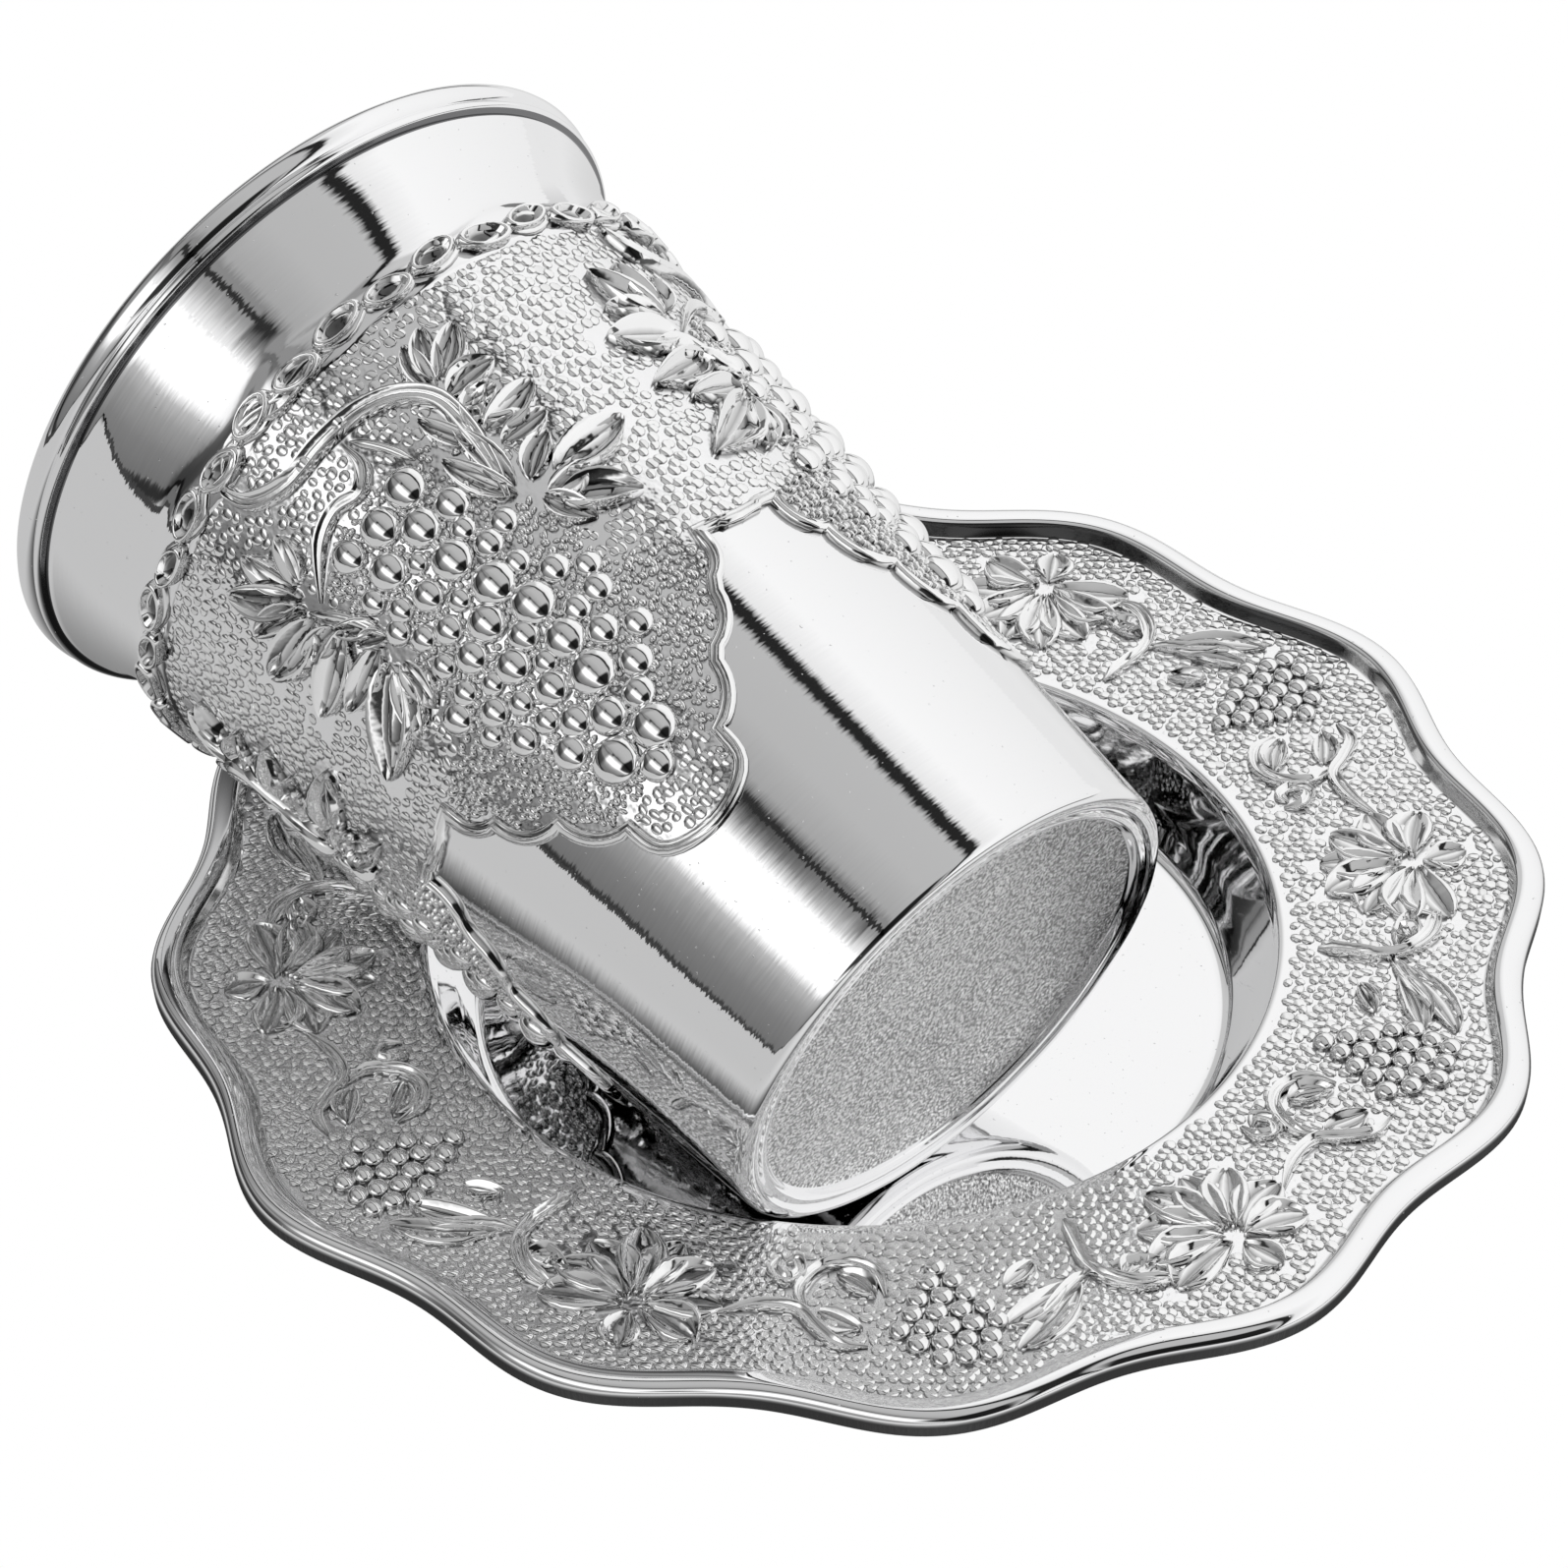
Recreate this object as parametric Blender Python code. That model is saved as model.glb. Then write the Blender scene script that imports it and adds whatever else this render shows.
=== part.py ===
# Silver-plated kiddush cup lying at a slant in its lobed saucer.
# Units are metres and +Z is up. The origin is the middle of the saucer's underside.

import math

import bmesh
import bpy
from mathutils import Matrix, Vector
from mathutils.geometry import delaunay_2d_cdt

# Cup, measured along its own axis from the foot up to the lip
CUP_HEIGHT = 0.0884
CUP_WALL = 0.0012
CUP_FLOOR = 0.0014
CUP_INNER_CORNER = 0.0030
FOOT_RADIUS = 0.0240
FOOT_CORNER = 0.0012
FOOT_RING_WIDTH = 0.0028
RECESS_DEPTH = 0.0009
NECK_RADIUS = 0.0299
NECK_HEIGHT = 0.0735
NECK_FLARE = 0.0026
LIP_RADIUS = 0.0335
LIP_BEAD_HEIGHT = 0.0036
LIP_BEAD_STEP = 0.0006

# Carved panels that hang round the cup
PANEL_COUNT = 4
PANEL_HALF_WIDTH = 0.0170
PANEL_TOP = 0.0378
PANEL_BOTTOM = 0.0173
PANEL_CUSPS = ((1.00, 1.00), (0.85, 0.75), (0.60, 0.55), (0.32, 0.26))
PANEL_BULGE = 0.20
BORDER_WIDTH = 0.0012
BORDER_RELIEF = 0.0005

# Grape clusters and leaves on the panels
CLUSTER_TOP = 0.0585
CLUSTER_BOTTOM = 0.0245
CLUSTER_HALF_WIDTH = 0.0080
CLUSTER_FLARE = 1.5
GRAPE_RADIUS = 0.0018
GRAPE_GAP = 0.0006
LEAF_WIDTH = 0.0023
LEAF_RELIEF = 0.0009
# root across the panel, root height, middle direction, step between blades, blades, length
LEAF_SPRAYS = (
    (0.0093, 0.0610, 42.0, 36.0, 3, 0.0056),
    (0.0118, 0.0515, 8.0, 40.0, 3, 0.0075),
    (-0.0108, 0.0585, 105.0, 36.0, 3, 0.0066),
    (-0.0118, 0.0545, 172.0, 30.0, 1, 0.0074),
    (-0.0104, 0.0480, 208.0, 34.0, 3, 0.0078),
)

# Chain of vine links round the top of the panels
CHAIN_LINKS = 36
CHAIN_HEIGHT = 0.0722
CHAIN_LINK_LENGTH = 0.0045
CHAIN_LINK_WIDTH = 0.0020
CHAIN_RELIEF = 0.0009

# Saucer
SAUCER_RADIUS = 0.0619
SAUCER_WALL = 0.0009
SAUCER_LOBES = 12
LOBE_DEPTH = 0.00145
LOBE_TURN_DEG = 6.0
WELL_FLOOR_RADIUS = 0.0345
WELL_RIM_RADIUS = 0.0385
WELL_DEPTH = 0.0084
WELL_CORNER = 0.0008
BAND_RISE = 0.0004
RIM_CREST = 0.0022
RIM_CREST_INSET = 0.0012
RIM_COVE = 0.0042
RIM_DROP = 0.0026

# Leaves and grapes on the saucer's band. Places and sizes are shares of the band's width.
MOTIF_COUNT = 6
BAND_LEAF_PLACE = 0.62
BAND_LEAF_BLADES = 7
BAND_LEAF_LENGTH = 0.36
BAND_LEAF_WIDTH = 0.147
BAND_CLUSTER_PLACE = 0.61
BAND_CLUSTER_ROWS = (1, 2, 3, 2, 3)
BAND_GRAPE_RADIUS = 0.055
BAND_GRAPE_PITCH = 0.13
BAND_VINE_WIDTH = 0.076
BAND_LEAF_RELIEF = 0.0008
BAND_VINE_RELIEF = 0.0006

# How the cup lies in the saucer
CUP_HEADING_DEG = 132.0
CUP_ROLL_DEG = 141.0
FOOT_REST_X = 0.0038
FOOT_REST_Y = -0.0231
REST_GAP = 0.0003
PEBBLE_RELIEF = 0.0005

# Fineness of the faceted solids
STEPS_PER_PANEL = 10
STEPS_PER_MOTIF = 12

SHEET_MARGIN = 0.0024
SHEET_SCALE = 1000.0
MERGE_DISTANCE = 0.000002


def polar(x, y, radius, angle):
    return (x + radius * math.cos(angle), y + radius * math.sin(angle))


def distance_to_path(x, y, path):
    nearest = 1.0
    for (ax, ay), (bx, by) in zip(path, path[1:]):
        run_x = bx - ax
        run_y = by - ay
        share = ((x - ax) * run_x + (y - ay) * run_y) / (run_x**2 + run_y**2)
        share = min(1.0, max(0.0, share))
        nearest = min(nearest, math.hypot(x - ax - share * run_x, y - ay - share * run_y))
    return nearest


class Carving:
    """One raised form: the lines that its mesh follows, and its height anywhere."""

    def __init__(self, loops, lines, height):
        self.loops = loops
        self.lines = lines
        self.height = height


def grape(x, y, radius):
    foot = [polar(x, y, radius, math.tau * i / 5) for i in range(5)]
    crown = [polar(x, y, 0.5 * radius, math.tau * (i + 0.25) / 3) for i in range(3)]

    def height(px, py):
        inside = radius**2 - (px - x) ** 2 - (py - y) ** 2
        return math.sqrt(max(0.0, inside))

    return Carving([foot, crown], [], height)


def blade(x, y, direction, length, width, relief):
    along = (math.cos(direction), math.sin(direction))
    stations = (0.35, 0.72)

    def half_width(share):
        return 0.5 * width * math.sin(math.pi * share**0.8)

    def place(share, side):
        return (
            x + along[0] * share * length - along[1] * side,
            y + along[1] * share * length + along[0] * side,
        )

    left = [place(share, half_width(share)) for share in stations]
    right = [place(share, -half_width(share)) for share in stations]
    rib = [place(share, 0.0) for share in stations]
    root = place(0.0, 0.0)
    tip = place(1.0, 0.0)

    def height(px, py):
        share = ((px - x) * along[0] + (py - y) * along[1]) / length
        side = abs((py - y) * along[0] - (px - x) * along[1])
        if share <= 0.0 or share >= 1.0:
            return 0.0
        return relief * max(0.0, 1.0 - side / half_width(share))

    return Carving([[root] + left + [tip] + right[::-1]], [[root] + rib + [tip]], height)


def offset_path(path, distance):
    moved = []
    for i, (x, y) in enumerate(path):
        before = path[max(0, i - 1)]
        after = path[min(len(path) - 1, i + 1)]
        run_x = after[0] - before[0]
        run_y = after[1] - before[1]
        length = math.hypot(run_x, run_y)
        moved.append((x - distance * run_y / length, y + distance * run_x / length))
    return moved


def ridge(path, width, relief):
    lines = [offset_path(path, 0.5 * width), path, offset_path(path, -0.5 * width)]

    def height(px, py):
        return relief * max(0.0, 1.0 - distance_to_path(px, py, path) / (0.5 * width))

    return Carving([], lines, height)


def link(x, y, length, width, relief):
    """A pointed bead that lies across the panel."""
    ends = [(x - 0.5 * length, y), (x + 0.5 * length, y)]
    sides = [(x, y - 0.5 * width), (x, y + 0.5 * width)]
    ridge_line = [ends[0], (x, y), ends[1]]

    def height(px, py):
        across = abs(px - x) / (0.5 * length) + abs(py - y) / (0.5 * width)
        return relief * max(0.0, 1.0 - across)

    return Carving([[ends[0], sides[0], ends[1], sides[1]]], [ridge_line], height)


def carved_sheet(columns, rows, side_stops, carvings, to_sheet, from_sheet):
    """Triangulate a rectangle of columns by rows so that its edges follow every carving.

    side_stops are further rows that exist only on the two sides, where a carving runs out.
    """
    points = []
    edges = []

    def add_line(line, closed):
        first = len(points)
        for p in line:
            u, v = to_sheet(*p)
            u = min(columns[-1], max(columns[0], u))
            points.append(Vector((u, v)) * SHEET_SCALE)
        count = len(line)
        for i in range(count if closed else count - 1):
            edges.append((first + i, first + (i + 1) % count))

    for carving in carvings:
        for loop in carving.loops:
            add_line(loop, True)
        for line in carving.lines:
            add_line(line, False)
    carved = [p.copy() for p in points]

    sides = sorted(rows + side_stops)
    border = [(c, sides[0]) for c in columns]
    border += [(columns[-1], r) for r in sides[1:]]
    border += [(c, sides[-1]) for c in columns[-2::-1]]
    border += [(columns[0], r) for r in sides[-2:0:-1]]
    first = len(points)
    points.extend(Vector(p) * SHEET_SCALE for p in border)
    edges.extend((first + i, first + (i + 1) % len(border)) for i in range(len(border)))

    margin = SHEET_MARGIN * SHEET_SCALE
    for c in columns[1:-1]:
        for r in rows[1:-1]:
            spot = Vector((c, r)) * SHEET_SCALE
            if all((spot - p).length > margin for p in carved):
                points.append(spot)

    found, _, faces, _, _, _ = delaunay_2d_cdt(points, edges, [], 0, 0.0005)
    surface = []
    for p in found:
        x, y = from_sheet(p.x / SHEET_SCALE, p.y / SHEET_SCALE)
        to_end = min(abs(p.y / SHEET_SCALE - rows[0]), abs(p.y / SHEET_SCALE - rows[-1]))
        relief = 0.0 if to_end < MERGE_DISTANCE else max(c.height(x, y) for c in carvings)
        surface.append((p.x / SHEET_SCALE, p.y / SHEET_SCALE, relief))
    return surface, faces


def spaced(start, end, steps):
    return [start + (end - start) * i / steps for i in range(steps + 1)]


def bridge(mesh, below, above):
    count = len(below)
    for i in range(count):
        j = (i + 1) % count
        mesh.faces.new((below[i], below[j], above[j], above[i]))


def cap(mesh, ring, height, facing_up):
    middle = mesh.verts.new((0.0, 0.0, height))
    count = len(ring)
    for i in range(count):
        j = (i + 1) % count
        corners = (ring[i], ring[j], middle) if facing_up else (ring[j], ring[i], middle)
        mesh.faces.new(corners)


def finish_object(name, mesh, material, placement):
    bmesh.ops.remove_doubles(mesh, verts=mesh.verts[:], dist=MERGE_DISTANCE)
    bmesh.ops.dissolve_degenerate(mesh, dist=MERGE_DISTANCE, edges=mesh.edges[:])
    bmesh.ops.triangulate(mesh, faces=mesh.faces[:])
    bmesh.ops.recalc_face_normals(mesh, faces=mesh.faces[:])
    data = bpy.data.meshes.new(name)
    mesh.to_mesh(data)
    mesh.free()
    data.materials.append(material)
    data.shade_smooth()
    data.set_sharp_from_angle(angle=math.radians(32.0))
    thing = bpy.data.objects.new(name, data)
    thing.matrix_world = placement
    bpy.context.collection.objects.link(thing)
    return thing


def silver(name, roughness):
    material = bpy.data.materials.new(name)
    material.use_nodes = True
    shader = material.node_tree.nodes["Principled BSDF"]
    shader.inputs["Base Color"].default_value = (0.86, 0.86, 0.87, 1.0)
    shader.inputs["Metallic"].default_value = 1.0
    shader.inputs["Roughness"].default_value = roughness
    return material


# Cup

def wall_radius(height):
    """Outer radius of the cup: a straight taper up to the neck, which then flares."""
    taper = (NECK_RADIUS - FOOT_RADIUS) / NECK_HEIGHT
    if height <= NECK_HEIGHT:
        return FOOT_RADIUS + taper * height
    crease = CUP_HEIGHT - LIP_BEAD_HEIGHT
    share = (height - NECK_HEIGHT) / (crease - NECK_HEIGHT)
    return NECK_RADIUS + NECK_FLARE * share**3


def foot_profile():
    """Radius and height of the foot's turned steps, from the wall down to the recess."""
    outer = wall_radius(FOOT_CORNER)
    corner = [
        (outer - FOOT_CORNER * (1.0 - math.cos(turn)), FOOT_CORNER * (1.0 - math.sin(turn)))
        for turn in (math.radians(30.0), math.radians(60.0), math.radians(90.0))
    ]
    inner = outer - FOOT_CORNER - 0.5 * FOOT_RING_WIDTH
    return corner + [(inner, 0.0), (inner - RECESS_DEPTH, RECESS_DEPTH)]


def neck_profile(start):
    crease = CUP_HEIGHT - LIP_BEAD_HEIGHT
    heights = [start + (crease - start) * share for share in (0.5, 0.8, 1.0)]
    return [(wall_radius(h), h) for h in heights]


def lip_profile():
    """The lip's rounded bead, from its lower step over the top to the inside."""
    crease = CUP_HEIGHT - LIP_BEAD_HEIGHT
    step = wall_radius(crease) + LIP_BEAD_STEP
    round_over = 0.5 * (LIP_RADIUS - step) + 0.0007
    inside = wall_radius(crease) - CUP_WALL
    return [
        (step, crease + 0.1 * LIP_BEAD_HEIGHT),
        (LIP_RADIUS, crease + 0.45 * LIP_BEAD_HEIGHT),
        (LIP_RADIUS - 0.15 * round_over, crease + 0.8 * LIP_BEAD_HEIGHT),
        (LIP_RADIUS - round_over, CUP_HEIGHT),
        (inside, CUP_HEIGHT - 0.3 * LIP_BEAD_HEIGHT),
    ]


def inside_profile():
    crease = CUP_HEIGHT - LIP_BEAD_HEIGHT
    floor = RECESS_DEPTH + CUP_FLOOR
    heights = [crease, 0.4 * crease + 0.6 * NECK_HEIGHT, floor + CUP_INNER_CORNER]
    wall = [(wall_radius(h) - CUP_WALL, h) for h in heights]
    corner_radius = wall_radius(floor + CUP_INNER_CORNER) - CUP_WALL - CUP_INNER_CORNER
    middle = math.radians(45.0)
    bend = (corner_radius + CUP_INNER_CORNER * math.cos(middle),
            floor + CUP_INNER_CORNER * (1.0 - math.sin(middle)))
    return wall + [bend, (corner_radius, floor)]


def lobe_arc(start, end, bulge, steps):
    """Points on a round lobe between two cusps, without the last one."""
    chord_x = end[0] - start[0]
    chord_y = end[1] - start[1]
    points = []
    for i in range(steps):
        share = i / steps
        swell = 4.0 * share * (1.0 - share) * bulge
        points.append((start[0] + chord_x * share + chord_y * swell,
                       start[1] + chord_y * share - chord_x * swell))
    return points


def panel_outline(edge_angle):
    """The scalloped border from one side of a panel, round its foot, to the other side."""
    depth = PANEL_TOP - PANEL_BOTTOM
    cusps = [(across * PANEL_HALF_WIDTH, PANEL_BOTTOM + share * depth) for across, share in PANEL_CUSPS]
    left = [(-x, h) for x, h in cusps]
    edge = edge_angle * wall_radius(PANEL_TOP)
    path = [(-edge, PANEL_TOP), (-0.5 * (edge + PANEL_HALF_WIDTH), PANEL_TOP)]
    for start, end in zip(left, left[1:]):
        path += lobe_arc(start, end, PANEL_BULGE, 2)
    half = left[-1][0]
    drop = left[-1][1] - PANEL_BOTTOM
    for i in range(6):
        turn = math.pi * i / 6
        path.append((half * math.cos(turn), left[-1][1] - drop * math.sin(turn)))
    right = cusps[::-1]
    for start, end in zip(right, right[1:]):
        path += lobe_arc(start, end, PANEL_BULGE, 2)
    path += [(PANEL_HALF_WIDTH, PANEL_TOP), (0.5 * (edge + PANEL_HALF_WIDTH), PANEL_TOP), (edge, PANEL_TOP)]
    return path


def cluster_places(top, bottom, half_width, pitch):
    """Staggered columns of grapes that fill a teardrop hanging point down."""
    places = []
    columns = int(half_width / (0.87 * pitch))
    for column in range(-columns, columns + 1):
        across = 0.87 * pitch * column
        lowest = bottom + CLUSTER_FLARE * abs(across)
        highest = top - max(0.0, across - 0.5 * pitch) * CLUSTER_FLARE
        start = lowest + (0.5 * pitch if column % 2 else 0.0)
        for i in range(int((highest - start) / pitch) + 1):
            places.append((across, start + pitch * i))
    return places


def cup_carvings(edge_angle):
    carvings = [ridge(panel_outline(edge_angle), BORDER_WIDTH, BORDER_RELIEF)]
    pitch = 2.0 * GRAPE_RADIUS + GRAPE_GAP
    for x, h in cluster_places(CLUSTER_TOP, CLUSTER_BOTTOM, CLUSTER_HALF_WIDTH, pitch):
        carvings.append(grape(x, h, GRAPE_RADIUS))
    for x, h, middle, step, count, length in LEAF_SPRAYS:
        for i in range(count):
            direction = math.radians(middle + step * (i - 0.5 * (count - 1)))
            carvings.append(blade(x, h, direction, length, LEAF_WIDTH, LEAF_RELIEF))
    links = CHAIN_LINKS // PANEL_COUNT
    for i in range(links):
        angle = edge_angle * (2.0 * (i + 0.5) / links - 1.0)
        lift = 0.2 * CHAIN_LINK_WIDTH * (1 if i % 2 else -1)
        x = angle * wall_radius(CHAIN_HEIGHT)
        carvings.append(link(x, CHAIN_HEIGHT + lift, CHAIN_LINK_LENGTH, CHAIN_LINK_WIDTH, CHAIN_RELIEF))
    return carvings


def build_cup(placement):
    edge_angle = math.pi / PANEL_COUNT
    low = 2.0 * FOOT_CORNER
    high = CHAIN_HEIGHT + CHAIN_LINK_WIDTH
    middle_radius = wall_radius(0.5 * (low + high))
    angles = spaced(-edge_angle, edge_angle, STEPS_PER_PANEL)
    columns = [middle_radius * a for a in angles]
    plain_rows = spaced(low, PANEL_BOTTOM - BORDER_WIDTH, 2)
    carved_rows = spaced(PANEL_BOTTOM, high, 9)
    rows = plain_rows + carved_rows
    side_stops = [PANEL_TOP - 0.5 * BORDER_WIDTH, PANEL_TOP, PANEL_TOP + 0.5 * BORDER_WIDTH]

    def to_sheet(x, h):
        return (x / wall_radius(h) * middle_radius, h)

    def from_sheet(u, h):
        return (u / middle_radius * wall_radius(h), h)

    carvings = cup_carvings(edge_angle)
    surface, faces = carved_sheet(columns, rows, side_stops, carvings, to_sheet, from_sheet)
    mesh = bmesh.new()
    for panel in range(PANEL_COUNT):
        turn = 2.0 * edge_angle * panel
        verts = []
        for u, h, relief in surface:
            angle = turn + u / middle_radius
            radius = wall_radius(h) + relief
            verts.append(mesh.verts.new((radius * math.cos(angle), radius * math.sin(angle), h)))
        for face in faces:
            mesh.faces.new([verts[i] for i in face])

    count = STEPS_PER_PANEL * PANEL_COUNT
    offset = -edge_angle

    def ring(radius, height):
        return [
            mesh.verts.new((radius * math.cos(offset + math.tau * i / count),
                            radius * math.sin(offset + math.tau * i / count), height))
            for i in range(count)
        ]

    foot = [ring(wall_radius(low), low), ring(wall_radius(FOOT_CORNER), FOOT_CORNER)]
    foot += [ring(r, h) for r, h in foot_profile()]
    for upper, lower in zip(foot, foot[1:]):
        bridge(mesh, lower, upper)
    cap(mesh, foot[-1], RECESS_DEPTH, False)
    upper = [ring(wall_radius(high), high)]
    upper += [ring(r, h) for r, h in neck_profile(high) + lip_profile() + inside_profile()]
    for below, above in zip(upper, upper[1:]):
        bridge(mesh, below, above)
    cap(mesh, upper[-1], RECESS_DEPTH + CUP_FLOOR, True)
    return finish_object("cup", mesh, silver("cup_silver", 0.08), placement)


# Saucer

def rim_radius(angle):
    """Outermost radius of the lobed edge at an angle round the saucer."""
    wave = math.cos(SAUCER_LOBES * (angle - math.radians(LOBE_TURN_DEG)))
    return SAUCER_RADIUS + LOBE_DEPTH * wave


def rim_top():
    return SAUCER_WALL + WELL_DEPTH


def saucer_carvings(leaf_angle, cluster_angle, inner, band):
    """One leaf rosette, one grape cluster and the vine between them."""
    carvings = []
    leaf_place = inner + BAND_LEAF_PLACE * band
    reach = BAND_LEAF_LENGTH * band
    leaf_x = leaf_angle * leaf_place
    for i in range(BAND_LEAF_BLADES):
        turn = math.tau * (i + 0.5) / BAND_LEAF_BLADES
        length = reach * (0.8 - 0.2 * math.sin(turn))
        carvings.append(blade(leaf_x, leaf_place, turn, length, BAND_LEAF_WIDTH * band, BAND_LEAF_RELIEF))
    cluster_place = inner + BAND_CLUSTER_PLACE * band
    cluster_x = cluster_angle * cluster_place
    pitch = BAND_GRAPE_PITCH * band
    rows = len(BAND_CLUSTER_ROWS)
    for row, count in enumerate(BAND_CLUSTER_ROWS):
        y = cluster_place + 0.87 * pitch * (row - 0.5 * (rows - 1))
        for i in range(count):
            x = cluster_x + pitch * (i - 0.5 * (count - 1))
            carvings.append(grape(x, y, BAND_GRAPE_RADIUS * band))
    vine_start = leaf_x + reach
    vine_end = cluster_x - 1.6 * pitch
    vine = []
    for i in range(7):
        share = i / 6
        swing = 0.35 * reach * math.sin(math.tau * share)
        x = vine_start + (vine_end - vine_start) * (0.08 + 0.8 * share)
        vine.append((x, leaf_place - swing))
    carvings.append(ridge(vine, BAND_VINE_WIDTH * band, BAND_VINE_RELIEF))
    return carvings


def build_saucer():
    motif_angle = math.tau / MOTIF_COUNT
    lobe_angle = math.tau / SAUCER_LOBES
    leaf_angle = math.radians(LOBE_TURN_DEG)
    start_angle = leaf_angle - 0.5 * lobe_angle
    plane = rim_top()
    inner = WELL_RIM_RADIUS + WELL_CORNER
    mean_outer = SAUCER_RADIUS - RIM_COVE
    middle_radius = 0.5 * (inner + mean_outer)
    angles = spaced(start_angle, start_angle + motif_angle, STEPS_PER_MOTIF)
    columns = [middle_radius * a for a in angles]
    rows = spaced(inner, mean_outer, 3)

    def stretch(angle):
        return (rim_radius(angle) - RIM_COVE - inner) / (mean_outer - inner)

    def to_sheet(x, y):
        angle = x / y
        return (angle * middle_radius, inner + (y - inner) / stretch(angle))

    def from_sheet(u, v):
        angle = u / middle_radius
        radius = inner + (v - inner) * stretch(angle)
        return (angle * radius, radius)

    carvings = saucer_carvings(leaf_angle, leaf_angle + lobe_angle, inner, mean_outer - inner)
    surface, faces = carved_sheet(columns, rows, [], carvings, to_sheet, from_sheet)
    mesh = bmesh.new()
    for motif in range(MOTIF_COUNT):
        verts = []
        for u, v, relief in surface:
            x, radius = from_sheet(u, v)
            angle = x / radius + motif_angle * motif
            height = plane + BAND_RISE * (v - inner) / (mean_outer - inner) + relief
            verts.append(mesh.verts.new((radius * math.cos(angle), radius * math.sin(angle), height)))
        for face in faces:
            mesh.faces.new([verts[i] for i in face])

    count = STEPS_PER_MOTIF * MOTIF_COUNT
    turns = [start_angle + math.tau * i / count for i in range(count)]

    def round_ring(radius, height):
        return [mesh.verts.new((radius * math.cos(t), radius * math.sin(t), height)) for t in turns]

    def lobed_ring(inset, height):
        ring = []
        for t in turns:
            radius = rim_radius(t) - inset
            ring.append(mesh.verts.new((radius * math.cos(t), radius * math.sin(t), height)))
        return ring

    slope = (WELL_RIM_RADIUS - WELL_FLOOR_RADIUS) / WELL_DEPTH
    skin = SAUCER_WALL * math.sqrt(1.0 + slope**2)
    under_foot = WELL_FLOOR_RADIUS - slope * SAUCER_WALL + skin
    under_rim = WELL_RIM_RADIUS - slope * SAUCER_WALL + skin
    crest = plane + RIM_CREST
    band_edge = plane + BAND_RISE

    well = [
        round_ring(WELL_FLOOR_RADIUS, SAUCER_WALL),
        round_ring(WELL_RIM_RADIUS - slope * WELL_CORNER, plane - WELL_CORNER),
        round_ring(WELL_RIM_RADIUS, plane - 0.3 * WELL_CORNER),
        round_ring(inner, plane),
    ]
    cap(mesh, well[0], SAUCER_WALL, True)
    for lower, upper in zip(well, well[1:]):
        bridge(mesh, upper, lower)

    skirt = [
        lobed_ring(RIM_COVE, band_edge),
        lobed_ring(RIM_COVE - 0.35 * (RIM_COVE - RIM_CREST_INSET), band_edge + 0.15 * (crest - band_edge)),
        lobed_ring(RIM_CREST_INSET, crest),
        lobed_ring(0.3 * RIM_CREST_INSET, crest - 0.2 * RIM_CREST_INSET),
        lobed_ring(0.0, crest - 0.7 * RIM_CREST_INSET),
        lobed_ring(0.0, crest - RIM_DROP),
        lobed_ring(SAUCER_WALL, crest - RIM_DROP),
        lobed_ring(RIM_CREST_INSET + 0.5 * SAUCER_WALL, crest - SAUCER_WALL - 0.0002),
        lobed_ring(RIM_COVE, band_edge - SAUCER_WALL),
        round_ring(under_rim, plane - SAUCER_WALL),
        round_ring(under_foot, 0.0),
    ]
    for inside, outside in zip(skirt, skirt[1:]):
        bridge(mesh, outside, inside)
    cap(mesh, skirt[-1], 0.0, False)
    return finish_object("saucer", mesh, silver("saucer_silver", 0.1), Matrix.Identity(4))


# The cup's rest: its foot on the well's floor, its wall on the well's rim

def foot_edge():
    return [(wall_radius(FOOT_CORNER), FOOT_CORNER)] + foot_profile()[:3]


def cup_lift(tilt):
    """Height of the foot's middle when the lowest corner clears the floor by the gap."""
    lowest = min(h * math.sin(tilt) - r * math.cos(tilt) for r, h in foot_edge())
    return SAUCER_WALL + REST_GAP - lowest


def cup_foot_middle(tilt):
    heading = math.radians(CUP_HEADING_DEG)
    radius, height = min(foot_edge(), key=lambda p: p[1] * math.sin(tilt) - p[0] * math.cos(tilt))
    reach = height * math.cos(tilt) + radius * math.sin(tilt)
    x = FOOT_REST_X - reach * math.cos(heading)
    y = FOOT_REST_Y - reach * math.sin(heading)
    return x, y


def wall_clearance(tilt):
    """How far the cup's lowest line passes above the well's rim, less the gap."""
    heading = math.radians(CUP_HEADING_DEG)
    x, y = cup_foot_middle(tilt)
    along = -(x * math.cos(heading) + y * math.sin(heading))
    across_squared = x**2 + y**2 - along**2
    reach = along + math.sqrt(WELL_RIM_RADIUS**2 - across_squared)
    taper = (NECK_RADIUS - FOOT_RADIUS) / NECK_HEIGHT
    height = (reach - FOOT_RADIUS * math.sin(tilt)) / (math.cos(tilt) + taper * math.sin(tilt))
    lowest = cup_lift(tilt) + height * math.sin(tilt) - wall_radius(height) * math.cos(tilt)
    return lowest - rim_top() - REST_GAP - PEBBLE_RELIEF


def cup_placement():
    low = math.radians(2.0)
    high = math.radians(60.0)
    for _ in range(50):
        tilt = 0.5 * (low + high)
        if wall_clearance(tilt) > 0.0:
            high = tilt
        else:
            low = tilt
    x, y = cup_foot_middle(tilt)
    place = Matrix.Translation((x, y, cup_lift(tilt)))
    heading = Matrix.Rotation(math.radians(CUP_HEADING_DEG), 4, "Z")
    lean = Matrix.Rotation(0.5 * math.pi - tilt, 4, "Y")
    roll = Matrix.Rotation(math.radians(CUP_ROLL_DEG), 4, "Z")
    return place @ heading @ lean @ roll


def main():
    for thing in list(bpy.data.objects):
        bpy.data.objects.remove(thing, do_unlink=True)
    build_saucer()
    build_cup(cup_placement())


main()
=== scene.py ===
import math

import bmesh
import bpy
import numpy as np
from mathutils import Matrix, Vector


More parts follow.
